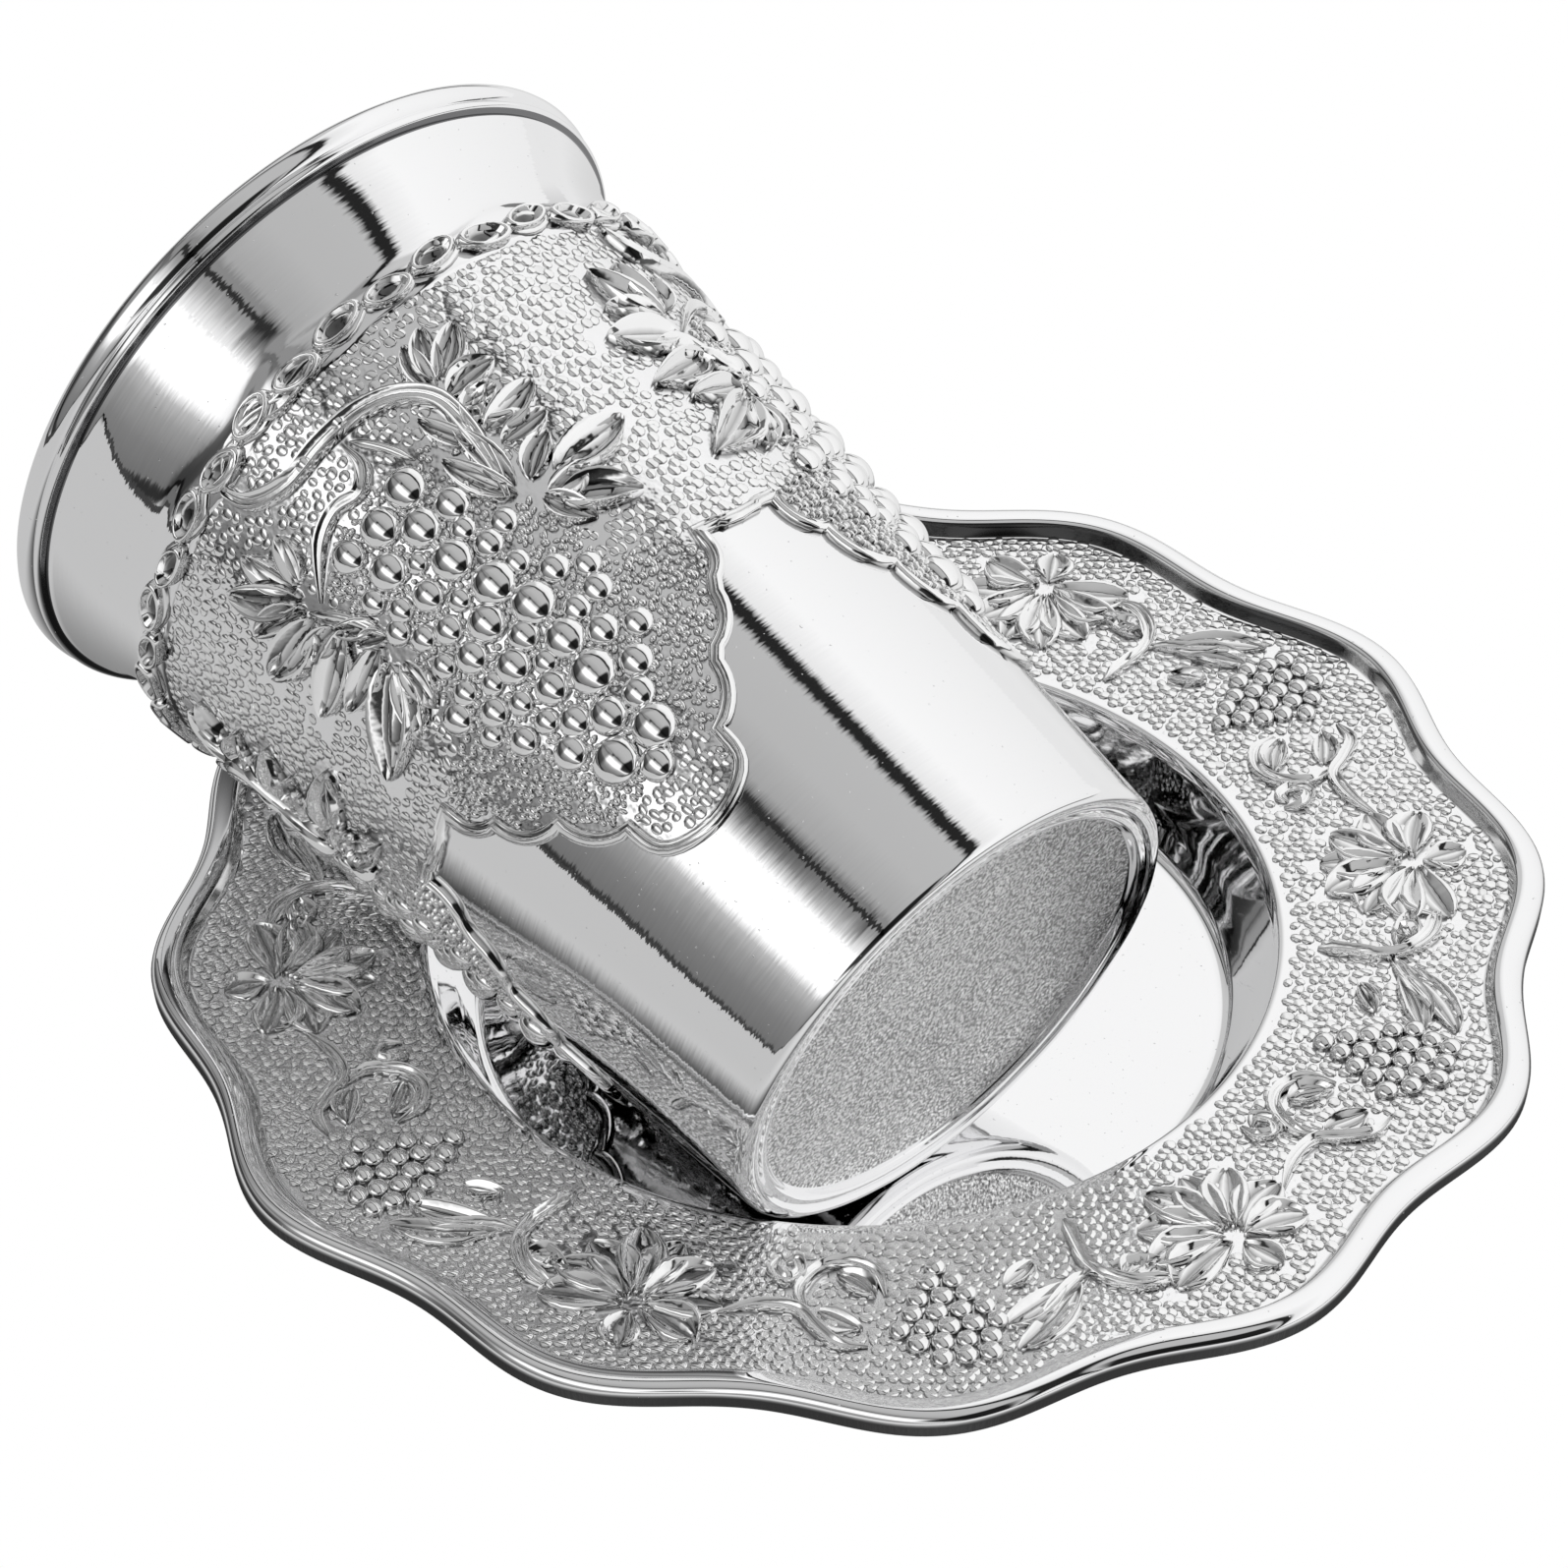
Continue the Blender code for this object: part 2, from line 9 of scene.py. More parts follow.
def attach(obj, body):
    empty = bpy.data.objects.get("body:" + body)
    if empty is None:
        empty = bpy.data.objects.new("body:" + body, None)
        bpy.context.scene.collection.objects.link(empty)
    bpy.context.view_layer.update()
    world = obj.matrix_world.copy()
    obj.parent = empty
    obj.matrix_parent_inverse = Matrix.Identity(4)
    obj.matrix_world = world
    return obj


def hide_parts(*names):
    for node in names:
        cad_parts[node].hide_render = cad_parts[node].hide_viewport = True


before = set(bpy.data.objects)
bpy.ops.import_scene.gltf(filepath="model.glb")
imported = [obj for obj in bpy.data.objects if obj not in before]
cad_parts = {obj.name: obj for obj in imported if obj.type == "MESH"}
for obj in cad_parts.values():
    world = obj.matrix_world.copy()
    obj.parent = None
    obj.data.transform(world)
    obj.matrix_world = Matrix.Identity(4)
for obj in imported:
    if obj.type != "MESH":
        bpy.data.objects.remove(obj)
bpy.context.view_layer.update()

# Silver cup with grape panels, leaning in the well of its scalloped saucer.
# Shapes are worked out in millimetres and placed in metres, origin under the middle of the saucer.

mm = 0.001


# shared helpers for meshes

def shown(mesh, name, materials, body="root"):
    thing = bpy.data.objects.new(name, mesh)
    bpy.context.collection.objects.link(thing)
    for material in materials:
        mesh.materials.append(material)
    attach(thing, body)
    return thing


def smoothMesh(name, verts, faces, slots=None, sharp=None):
    mesh = bpy.data.meshes.new(name)
    mesh.from_pydata([tuple(v) for v in verts], [], faces)
    mesh.validate()
    mesh.shade_smooth()
    if slots is not None:
        mesh.polygons.foreach_set("material_index", slots)
    if sharp is not None:
        mesh.set_sharp_from_angle(angle=math.radians(sharp))
    return mesh


def turnOutwards(mesh):
    bm = bmesh.new()
    bm.from_mesh(mesh)
    bmesh.ops.recalc_face_normals(bm, faces=bm.faces[:])
    bm.to_mesh(mesh)
    bm.free()


def ringFaces(rings, sides):
    # four-sided faces between closed rings of points
    faces = []
    for i in range(rings - 1):
        for j in range(sides):
            k = (j + 1) % sides
            faces.append((i * sides + j, i * sides + k, (i + 1) * sides + k, (i + 1) * sides + j))
    return faces


def addStrip(rows, verts, faces):
    # cross-sections joined one after the other and closed at both ends
    start, m = len(verts), len(rows[0])
    for row in rows:
        verts.extend(row)
    for i in range(len(rows) - 1):
        for j in range(m - 1):
            a = start + i * m + j
            faces.append((a, a + 1, a + m + 1, a + m))
    for i in (0, len(rows) - 1):
        ring = [start + i * m + j for j in range(m)]
        faces.append(ring if i else ring[::-1])


def curveThrough(points, steps):
    # smooth path through the given points, steps segments between two of them
    pts = [np.array(p, float) for p in points]
    ends = [2 * pts[0] - pts[1]] + pts + [2 * pts[-1] - pts[-2]]
    path = []
    for a, b, c, d in zip(ends, ends[1:], ends[2:], ends[3:]):
        for i in range(steps):
            t = i / steps
            path.append(0.5 * (2 * b + (c - a) * t + (2 * a - 5 * b + 4 * c - d) * t * t
                               + (3 * b - a - 3 * c + d) * t ** 3))
    path.append(pts[-1])
    return np.array(path)


def smoothStep(edge0, edge1, x):
    t = min(1.0, max(0.0, (x - edge0) / (edge1 - edge0)))
    return t * t * (3 - 2 * t)


# shared helpers for node trees

def addNode(tree, kind, inputs=None, **settings):
    # inputs: sockets by name or number, each with a plain value or the output that feeds it
    node = tree.nodes.new(kind)
    for key, value in settings.items():
        setattr(node, key, value)
    for key, value in (inputs or {}).items():
        if isinstance(value, bpy.types.NodeSocket):
            tree.links.new(value, node.inputs[key])
        else:
            node.inputs[key].default_value = value
    return node


def mathNode(tree, operation, a, b=0.0, c=0.0):
    return addNode(tree, "ShaderNodeMath", {0: a, 1: b, 2: c}, operation=operation).outputs[0]


def rangeNode(tree, value, low, high, toLow, toHigh, kind="LINEAR"):
    ends = {"Value": value, "From Min": low, "From Max": high, "To Min": toLow, "To Max": toHigh}
    return addNode(tree, "ShaderNodeMapRange", ends, interpolation_type=kind).outputs["Result"]


def noiseNode(tree, vector, size, detail, stretch=None):
    if stretch:
        vector = addNode(tree, "ShaderNodeMapping", {"Vector": vector, "Scale": stretch}).outputs["Vector"]
    noise = {"Vector": vector, "Scale": size, "Detail": detail}
    return addNode(tree, "ShaderNodeTexNoise", noise).outputs["Fac"]


# silver finishes

silverFinish = {
    "tone": (0.93, 0.93, 0.935, 1.0),
    # painted shade at the foot of raised shapes
    "footShade": 0.10,
    # painted shade in the crease below the lip
    "creaseShade": (0.20, 0.20, 0.205, 1.0),
    # speckled tones of the sanded recess, partly painted shade
    "sandedSpeckShade": (0.38, 1.0),
    # painted shade and light in the groove inside the saucer's rim
    "grooveShading": (0.06, 0.72),
    # how far turning marks lean the two mirror polishes
    "fray": {"polished": 0.030, "well": 0.006},
    # cast and pebbled silver: size and depth of the grain, then size, low and high of the roughness
    "grain": {
        "cast": (1100.0, 0.000022, 260.0, 0.03, 0.09),
        "ground": (1300.0, 0.00007, 300.0, 0.08, 0.16),
        "pebble": (900.0, 0.00003, 200.0, 0.03, 0.09),
    },
}
finishes = {}


def silver(key, roughness=0.1, coordinates="Object", tone=silverFinish["tone"]):
    # a new finish: its tree and the coordinates that its patterns follow
    # roughness holds where no pattern varies it
    material = bpy.data.materials.new(key + "Silver")
    material.use_nodes = True
    tree = material.node_tree
    for name, value in (("Base Color", tone), ("Metallic", 1.0), ("Roughness", roughness)):
        tree.nodes["Principled BSDF"].inputs[name].default_value = value
    finishes[key] = material
    return tree, addNode(tree, "ShaderNodeTexCoord").outputs[coordinates]


def dress(tree, looks):
    for name, output in looks.items():
        tree.links.new(output, tree.nodes["Principled BSDF"].inputs[name])


def noiseBump(tree, vector, size, depth, stretch=None, detail=1.0, after=None, ramp=None):
    # one layer of relief, its height in metres
    height = noiseNode(tree, vector, size, detail, stretch)
    if ramp:
        bend = addNode(tree, "ShaderNodeValToRGB", {"Fac": height})
        for stop, position in zip(bend.color_ramp.elements, ramp):
            stop.position = position
        height = bend.outputs["Color"]
    layer = {"Strength": 1.0, "Distance": depth, "Height": height}
    if after is not None:
        layer["Normal"] = after
    return addNode(tree, "ShaderNodeBump", layer).outputs["Normal"]


def frayNormal(tree, uv, amount, after):
    # turning marks lean the surface a little round its axis, so the edges of reflections fray
    marks = noiseNode(tree, uv, 1.0, 3.0, (0.25, 4.5, 1.0))
    lean = rangeNode(tree, marks, 0.0, 1.0, -amount, amount)
    tangent = addNode(tree, "ShaderNodeTangent", direction_type="UV_MAP", uv_map="wrap").outputs["Tangent"]
    aside = addNode(tree, "ShaderNodeVectorMath", {"Vector": tangent, "Scale": lean}, operation="SCALE")
    joined = addNode(tree, "ShaderNodeVectorMath", {0: after, 1: aside.outputs["Vector"]}, operation="ADD")
    unit = addNode(tree, "ShaderNodeVectorMath", {0: joined.outputs["Vector"]}, operation="NORMALIZE")
    return unit.outputs["Vector"]


def noiseRoughness(tree, vector, size, low, high):
    return rangeNode(tree, noiseNode(tree, vector, size, 3.0), 0.3, 0.7, low, high)


def paintedCreviceShade(tree):
    # painted shade: the silver is painted darker at the foot of every raised shape, where shade falls
    foot = addNode(tree, "ShaderNodeAttribute", attribute_name="crevice").outputs["Fac"]
    return rangeNode(tree, foot, 0.0, 1.0, silverFinish["tone"][0], silverFinish["footShade"])


def makeFinishes():
    # mirror polish, with the faint turning marks that fray every reflection, and tiny pits
    for key, fray in silverFinish["fray"].items():
        tree, uv = silver(key, coordinates="UV")
        wide = noiseBump(tree, uv, 1.0, 0.00006, (0.06, 0.05, 1.0))
        pits = noiseBump(tree, uv, 1.0, 0.00004, (2.2, 2.2, 1.0), after=wide, ramp=(0.76, 0.80))
        dress(tree, {"Normal": frayNormal(tree, uv, fray, pits),
                     "Roughness": noiseRoughness(tree, uv, 0.08, 0.02, 0.05)})

    # cast relief, the ground between the pebbles, and the pebbles
    for key, (size, depth, spread, low, high) in silverFinish["grain"].items():
        tree, spot = silver(key)
        dress(tree, {"Normal": noiseBump(tree, spot, size, depth),
                     "Roughness": noiseRoughness(tree, spot, spread, low, high)})
        # cast relief and pebbles get painted shade at their foot
        if key != "ground":
            dress(tree, {"Base Color": paintedCreviceShade(tree)})

    # sanded recess under the cup: speckled at random, and set darker overall as painted shade in the recess
    tree, spot = silver("sanded", 0.24)
    speck = noiseNode(tree, spot, 3300.0, 1.0)
    dress(tree, {"Normal": noiseBump(tree, spot, 2900.0, 0.00024),
                 "Base Color": rangeNode(tree, speck, 0.38, 0.58, *silverFinish["sandedSpeckShade"])})

    # painted shade in the crease below the lip
    silver("shadedCrease", 0.12, tone=silverFinish["creaseShade"])

    # painted light and shade: the groove inside the saucer's rim is painted dark where it faces the front and
    # bright elsewhere
    tree, facing = silver("groove", 0.10, "Normal")
    front = addNode(tree, "ShaderNodeSeparateXYZ", {0: facing}).outputs["Y"]
    dress(tree, {"Base Color": rangeNode(tree, front, -0.62, -0.50, *silverFinish["grooveShading"])})

    # filed lower edge of the saucer's rim
    tree, uv = silver("filed", 0.14, "UV")
    dress(tree, {"Normal": noiseBump(tree, uv, 1.0, 0.00006, (5.0, 0.4, 1.0), 2.0)})

    # turned inside of the cup and underside of the saucer
    tree, uv = silver("turned", 0.16, "UV")
    dress(tree, {"Normal": noiseBump(tree, uv, 1.0, 0.00003, (0.0, 3.0, 1.0), 3.0)})


makeFinishes()
print("finishes made:", ", ".join(finishes))


# where the cup lies

cupPose = {
    "foot": (0.008374, -0.028180, 0.024338),
    "heading": 132.0,
    "tilt": 13.6075,
    "roll": 141.0,
}
cupPlace = (Matrix.Translation(cupPose["foot"])
            @ Matrix.Rotation(math.radians(cupPose["heading"]), 4, "Z")
            @ Matrix.Rotation(math.radians(90.0 - cupPose["tilt"]), 4, "Y")
            @ Matrix.Rotation(math.radians(cupPose["roll"]), 4, "Z"))
cupTurn = cupPlace.to_3x3()
cupAxis = cupTurn @ Vector((0, 0, 1))

cupShape = {
    "footRadius": 24.0,
    "neckRadius": 29.9,
    "neckHeight": 73.5,
    "flare": 2.6,
    "crease": 84.8,
    "wall": 1.2,
    "floor": 2.3,
    "innerCorner": 3.0,
    "recess": 0.95,
    "collarLow": 70.9,
    "collarHigh": 75.2,
    "collarRise": 0.35,
    "middleRadius": 27.0,  # millimetres of pattern round the cup are counted here
    "around": 256,
}


def wallRadius(h):
    s = cupShape
    taper = (s["neckRadius"] - s["footRadius"]) / s["neckHeight"]
    if h <= s["neckHeight"]:
        return s["footRadius"] + taper * h
    share = (h - s["neckHeight"]) / (s["crease"] - s["neckHeight"])
    return s["neckRadius"] + s["flare"] * share ** 3


def wallRadii(h):
    # the straight part of the wall, for many heights
    s = cupShape
    taper = (s["neckRadius"] - s["footRadius"]) / s["neckHeight"]
    return s["footRadius"] + taper * np.minimum(h, s["neckHeight"])


def collar(h, turn):
    # soft raised collar that carries the chain of links
    low = cupShape["collarLow"] + 0.25 * math.sin(18 * turn + 0.6) * math.sin(5 * turn)
    high = cupShape["collarHigh"] + 0.5 * math.sin(9 * turn) + 0.4 * math.sin(14 * turn + 1.0)
    rise = cupShape["collarRise"] * smoothStep(low - 0.25, low + 0.15, h)
    return rise * (1 - smoothStep(high - 1.6, high, h))


def cupPoint(turn, radius, h):
    return cupPlace @ Vector((radius * math.cos(turn) * mm, radius * math.sin(turn) * mm, h * mm))


def onPanel(panel):
    # place on the cup's wall: x across the panel, h up the cup, lift above the wall
    middle = panel * math.pi / 2

    def put(x, h, lift):
        radius = wallRadius(h)
        return cupPoint(middle + x / radius, radius + lift, h)
    return put


def gridMesh(name, finishOf, sides, place, across, run, tips, sharp):
    # closed rings of points with a middle point at both ends; finishOf has the finish of each ring
    # its UV is in millimetres: across for one step round, run for the way along the profile
    rings = len(finishOf)
    verts = [place(i, j) for i in range(rings) for j in range(sides)]
    faces = ringFaces(rings, sides)
    slots = [finishOf[i] for i in range(rings - 1) for j in range(sides)]
    corners = [spot for i in range(rings - 1) for j in range(sides)
               for spot in ((j, i), (j + 1, i), (j + 1, i + 1), (j, i + 1))]
    for ring, tip in ((0, tips[0]), (rings - 1, tips[1])):
        middle = len(verts)
        verts.append(tip)
        for j in range(sides):
            face = (ring * sides + (j + 1) % sides, ring * sides + j, middle)
            around = [(j + 1, ring), (j, ring), (j + 0.5, ring)]
            faces.append(face[::-1] if ring else face)
            corners += around[::-1] if ring else around
        slots += [finishOf[max(0, ring - 1)]] * sides
    mesh = smoothMesh(name, verts, faces, slots, sharp)
    layer = mesh.uv_layers.new(name="wrap")
    flat = np.array([(a * across, run[b]) for a, b in corners], dtype=np.float32)
    layer.data.foreach_set("uv", flat.ravel())
    return mesh


def cupProfile():
    # radius, height and finish of each ring, from the recess over foot, wall and lip to the inner floor
    s = cupShape
    polished, sanded, turned, shadedCrease = range(4)

    def rings(finish, *spots):
        return [(r, h, finish) for r, h in spots]

    def wall(finish, heights, inwards=0.0):
        return [(wallRadius(h) - inwards, h, finish) for h in heights]

    heights, height = [], 1.6
    while height < 70.0:
        heights.append(height)
        height += 1.1 if height < 16.5 else 1.8
    out = rings(sanded, (4.0, s["recess"]), (12.0, s["recess"]), (20.4, s["recess"]))
    out += rings(polished, (20.75, 0.85), (21.0, 0.6), (21.2, 0.3), (21.5, 0.2), (21.9, 0.24), (22.15, 0.27),
                 (22.35, 0.14), (22.7, 0.02), (23.1, 0.0), (23.5, 0.09), (23.8, 0.3), (24.0, 0.65),
                 (24.1, 1.1))
    heights += [70.4, 70.65, 70.85, 71.0, 71.15, 71.4, 71.9, 72.6, 73.2, 73.7, 74.1, 74.5, 74.9, 75.3, 75.7,
                76.3, 77.0, 78.0, 79.0, 80.0, 81.0, 82.0, 82.8, 83.5, 84.1]
    out += wall(polished, heights)
    # the crease below the lip takes the painted shade
    out += wall(shadedCrease, [84.5]) + rings(shadedCrease, (32.30, 84.72), (32.28, 84.85), (32.45, 84.95))
    out += rings(polished, (32.80, 85.02), (33.02, 85.15), (33.12, 85.36), (33.10, 85.62), (32.98, 85.82),
                 (32.86, 85.92), (32.86, 86.0), (33.0, 86.1), (33.2, 86.3), (33.38, 86.6), (33.48, 86.95),
                 (33.5, 87.3), (33.4, 87.65), (33.2, 87.95), (32.9, 88.22), (32.55, 88.38), (32.2, 88.38),
                 (31.8, 88.25), (31.5, 88.0))
    out += rings(turned, (31.28, 87.5), (31.2, 86.5), (31.2, 85.0))
    inside = (84.0, 82.5, 81.0, 79.0, 77.0, 74.0, 68.0, 60.0, 50.0, 40.0, 30.0, 20.0, 12.0, 8.0, 5.8)
    out += wall(turned, inside, s["wall"])
    bend = s["innerCorner"]
    corner = wallRadius(s["floor"] + bend) - s["wall"] - bend
    for a in (10, 30, 50, 70, 90):
        t = math.radians(a)
        out += rings(turned, (corner + bend * math.cos(t), s["floor"] + bend * (1 - math.sin(t))))
    return out + rings(turned, (14.0, s["floor"]), (5.0, s["floor"]))


def buildCupShell():
    profile = cupProfile()
    sides = cupShape["around"]
    turns = [2 * math.pi * j / sides for j in range(sides)]
    names = ("polished", "sanded", "turned", "shadedCrease")

    def place(i, j):
        r, h, finish = profile[i]
        outside = names[finish] != "turned"
        return cupPoint(turns[j], r + (collar(h, turns[j]) if outside else 0.0), h)

    run = [0.0]
    for a, b in zip(profile, profile[1:]):
        run.append(run[-1] + math.hypot(b[0] - a[0], b[1] - a[1]))
    tips = (cupPoint(0, 0, cupShape["recess"]), cupPoint(0, 0, cupShape["floor"]))
    mesh = gridMesh("cupShell", [ring[2] for ring in profile], sides, place,
                    2 * math.pi * cupShape["middleRadius"] / sides, run, tips, 38)
    return shown(mesh, "cupShell", [finishes[name] for name in names])


cupShell = buildCupShell()
print("cup shell done,", len(cupShell.data.polygons), "faces")


# raised shapes: flat outlines and paths carried onto a surface by put(x, y, lift)

def sweepSection(put, path, section, verts, faces, taper=False):
    # a cross-section of (side, lift) pairs carried along a flat path
    path = np.array(path, float)
    n = len(path)
    rows = []
    for i, p in enumerate(path):
        run = path[min(n - 1, i + 1)] - path[max(0, i - 1)]
        run /= max(1e-9, np.hypot(*run))
        side = np.array([-run[1], run[0]])
        grow = min(1.0, 0.25 + 0.75 * min(i, n - 1 - i) / (0.2 * n)) if taper else 1.0
        row = []
        for across, lift in section:
            q = p + side * across * grow
            row.append(put(q[0], q[1], lift * grow if lift > 0 else lift))
        rows.append(row)
    addStrip(rows, verts, faces)


leafShape = {
    # across and height of a leaflet's section: raised rim, hollow middle and a fine midrib
    "section": ((-1.0, 0.0), (-0.95, 0.64), (-0.84, 0.98), (-0.66, 0.88), (-0.50, 0.32), (-0.22, 0.10),
                (0.0, 0.40), (0.22, 0.10), (0.50, 0.32), (0.66, 0.88), (0.84, 0.98), (0.95, 0.64),
                (1.0, 0.0)),
    "stations": 11,
    "foot": 0.1,  # how deep the edges reach into the ground
}


def addLeaf(put, root, tip, width, bend, lift, verts, faces, full=0.85):
    # one leaflet; the greater full is, the nearer its tip it is widest
    root, tip = np.array(root, float), np.array(tip, float)
    run = tip - root
    side = np.array([-run[1], run[0]]) / np.hypot(*run)
    rows = []
    for i in range(leafShape["stations"]):
        t = 0.01 + 0.98 * (0.5 - 0.5 * math.cos(math.pi * i / (leafShape["stations"] - 1)))
        half = 0.70 * width * math.sin(math.pi * t ** full) ** 0.72 + 0.02
        rise = lift * (0.35 + 0.65 * math.sin(math.pi * t) ** 0.5)
        c = root + run * t + side * bend * 4 * t * (1 - t)
        row = []
        for s, z in leafShape["section"]:
            q = c + side * s * half
            row.append(put(q[0], q[1], rise * z - (leafShape["foot"] if z == 0 else 0.0)))
        rows.append(row)
    addStrip(rows, verts, faces)


def roundSection(width, lift, steps=6):
    out = []
    for i in range(steps + 1):
        a = math.pi * (1 - i / steps)
        out.append((0.5 * width * math.cos(a), lift * math.sin(a) - 0.06))
    return out


def ribbonSection(width, lift):
    half = ((-1.0, -0.1), (-0.94, 0.55), (-0.76, 0.95), (-0.52, 0.92), (-0.28, 0.50))
    flat = list(half) + [(0.0, 0.34)] + [(-x, z) for x, z in half[::-1]]
    return [(0.5 * width * x, lift * z) for x, z in flat]


def addVine(put, points, width, lift, verts, faces):
    # thin stems are round, wide ones have a hollow back
    section = ribbonSection(width, lift) if width > 1.3 else roundSection(width, lift)
    sweepSection(put, curveThrough(points, 5), section, verts, faces, taper=True)


def reliefObject(name, verts, faces, sharp=70):
    mesh = smoothMesh(name, verts, faces)
    turnOutwards(mesh)
    mesh.shade_smooth()
    mesh.set_sharp_from_angle(angle=math.radians(sharp))
    return shown(mesh, name, [finishes["cast"]])


# panel border

borderShape = {
    "shoulder": (16.7, 38.0),
    "cusps": ((14.0, 33.2), (9.5, 28.2), (5.5, 22.8)),
    "bulges": (1.15, 1.3, 1.2),
    "bottom": 17.4,
    "archMiddle": 37.4,
    "archFoot": 37.8,
    "section": ((-0.72, -0.1), (-0.68, 0.42), (-0.50, 0.70), (-0.22, 0.76), (-0.02, 0.60), (0.10, 0.20),
                (0.22, 0.42), (0.38, 0.54), (0.54, 0.46), (0.66, 0.20), (0.70, -0.1)),
}


def lobe(a, b, bulge, steps=9):
    # rounded lobe from a to b that swells to the right of its way
    a, b = np.array(a, float), np.array(b, float)
    run = b - a
    side = np.array([run[1], -run[0]]) / np.hypot(*run)
    out = []
    for i in range(steps):
        t = i / steps
        swell = math.sin(math.pi * t) ** 0.75 * bulge
        out.append(tuple(a + run * t + side * swell))
    return out


def borderPath():
    s = borderShape
    edge = math.pi / 4 * wallRadius(s["shoulder"][1])
    middle = s["archMiddle"]
    arch = [(edge, middle), (edge - 2.0, middle + 0.15), (0.5 * (edge + s["shoulder"][0]), s["archFoot"])]
    right = [s["shoulder"]] + list(s["cusps"])
    left = [(-x, h) for x, h in right]
    path = [(-x, h) for x, h in arch]
    for a, b, bulge in zip(left, left[1:], s["bulges"]):
        path += lobe(a, b, bulge)
    cx, cy = left[-1]
    drop = cy - s["bottom"]
    for i in range(21):
        t = math.pi * i / 20
        swell = 1.0 + 0.10 * math.sin(2 * t) ** 2
        path.append((cx * math.cos(t) * swell, cy - drop * math.sin(t) ** 0.85))
    back = right[::-1]
    for a, b, bulge in zip(back, back[1:], s["bulges"][::-1]):
        path += lobe(a, b, bulge)[1:]
    return path + [s["shoulder"]] + arch[::-1]


def panelOutline():
    # the border closed round the ground above it
    path = borderPath()
    return path + [(30.0, path[-1][1]), (30.0, 80.0), (-30.0, 80.0), (-30.0, path[0][1])]


def buildBorders():
    verts, faces = [], []
    for panel in range(4):
        sweepSection(onPanel(panel), borderPath(), borderShape["section"], verts, faces)
    return reliefObject("panelBorders", verts, faces, 50)


panelBorders = buildBorders()
print("panel borders done")


# repeated pieces by Geometry Nodes

def scatterTree():
    tree = bpy.data.node_groups.new("setPieces", "GeometryNodeTree")
    sockets = {"Places": "Geometry", "Piece": "Object", "Finish": "Material", "Size": "Float",
               "Height": "Float", "Variation": "Float", "Spin": "Float", "Seed": "Int"}
    for name, kind in sockets.items():
        tree.interface.new_socket(name, in_out="INPUT", socket_type="NodeSocket" + kind)
    tree.interface.new_socket("Result", in_out="OUTPUT", socket_type="NodeSocketGeometry")
    given = addNode(tree, "NodeGroupInput").outputs

    def add(kind, inputs, **settings):
        return addNode(tree, kind, inputs, **settings).outputs

    def named(name, kind):
        return add("GeometryNodeInputNamedAttribute", {"Name": name}, data_type=kind)["Attribute"]

    def vector(x, y, z):
        return add("ShaderNodeCombineXYZ", {0: x, 1: y, 2: z})[0]

    def drawn(kind, sort, low, high, seed):
        # one random value for each piece
        node = addNode(tree, "FunctionNodeRandomValue", {"Seed": seed}, data_type=kind)
        for name, value in (("Min", low), ("Max", high)):
            tree.links.new(value, [s for s in node.inputs if s.name == name and s.type == sort][0])
        return [s for s in node.outputs if s.type == sort][0]

    axes = {"Primary Axis": named("facing", "FLOAT_VECTOR"), "Secondary Axis": named("along", "FLOAT_VECTOR")}
    turn = add("FunctionNodeAxesToRotation", axes, primary_axis="Z", secondary_axis="X")[0]
    low, high = (mathNode(tree, way, 1.0, given["Variation"]) for way in ("SUBTRACT", "ADD"))
    vary = drawn("FLOAT_VECTOR", "VECTOR", vector(low, low, low), vector(high, high, high), given["Seed"])
    wide = mathNode(tree, "MULTIPLY", named("girth", "FLOAT"), given["Size"])
    girth = vector(wide, wide, mathNode(tree, "MULTIPLY", wide, given["Height"]))
    scale = add("ShaderNodeVectorMath", {0: vary, 1: girth}, operation="MULTIPLY")[0]
    back = mathNode(tree, "MULTIPLY", given["Spin"], -1.0)
    spin = drawn("FLOAT", "VALUE", back, given["Spin"], mathNode(tree, "ADD", given["Seed"], 7.0))

    piece = add("GeometryNodeObjectInfo", {"Object": given["Piece"]})["Geometry"]
    placed = add("GeometryNodeInstanceOnPoints",
                 {"Points": given["Places"], "Instance": piece, "Rotation": turn, "Scale": scale})[0]
    spun = add("GeometryNodeRotateInstances", {"Instances": placed, "Rotation": vector(0.0, 0.0, spin)})[0]
    real = add("GeometryNodeRealizeInstances", {0: spun})[0]
    finished = add("GeometryNodeSetMaterial", {"Geometry": real, "Material": given["Finish"]})[0]
    addNode(tree, "NodeGroupOutput", {0: finished})
    return tree


setPieces = scatterTree()


def cappedObject(name, rings, sides, top, place):
    # rings of points closed by one at the top and open underneath; place(r, z, turn) sets each point
    turns = [2 * math.pi * j / sides for j in range(sides)]
    verts = [place(r, z, turn) for r, z in rings for turn in turns] + [(0, 0, top)]
    last = (len(rings) - 1) * sides
    faces = ringFaces(len(rings), sides)
    faces += [(last + j, last + (j + 1) % sides, len(verts) - 1) for j in range(sides)]
    return bpy.data.objects.new(name, smoothMesh(name, verts, faces))


def dome(name, rings, sides):
    # small raised dome of radius 1 and height 1
    return cappedObject(name, rings, sides, 1, lambda r, z, turn: (r * math.cos(turn), r * math.sin(turn), z))


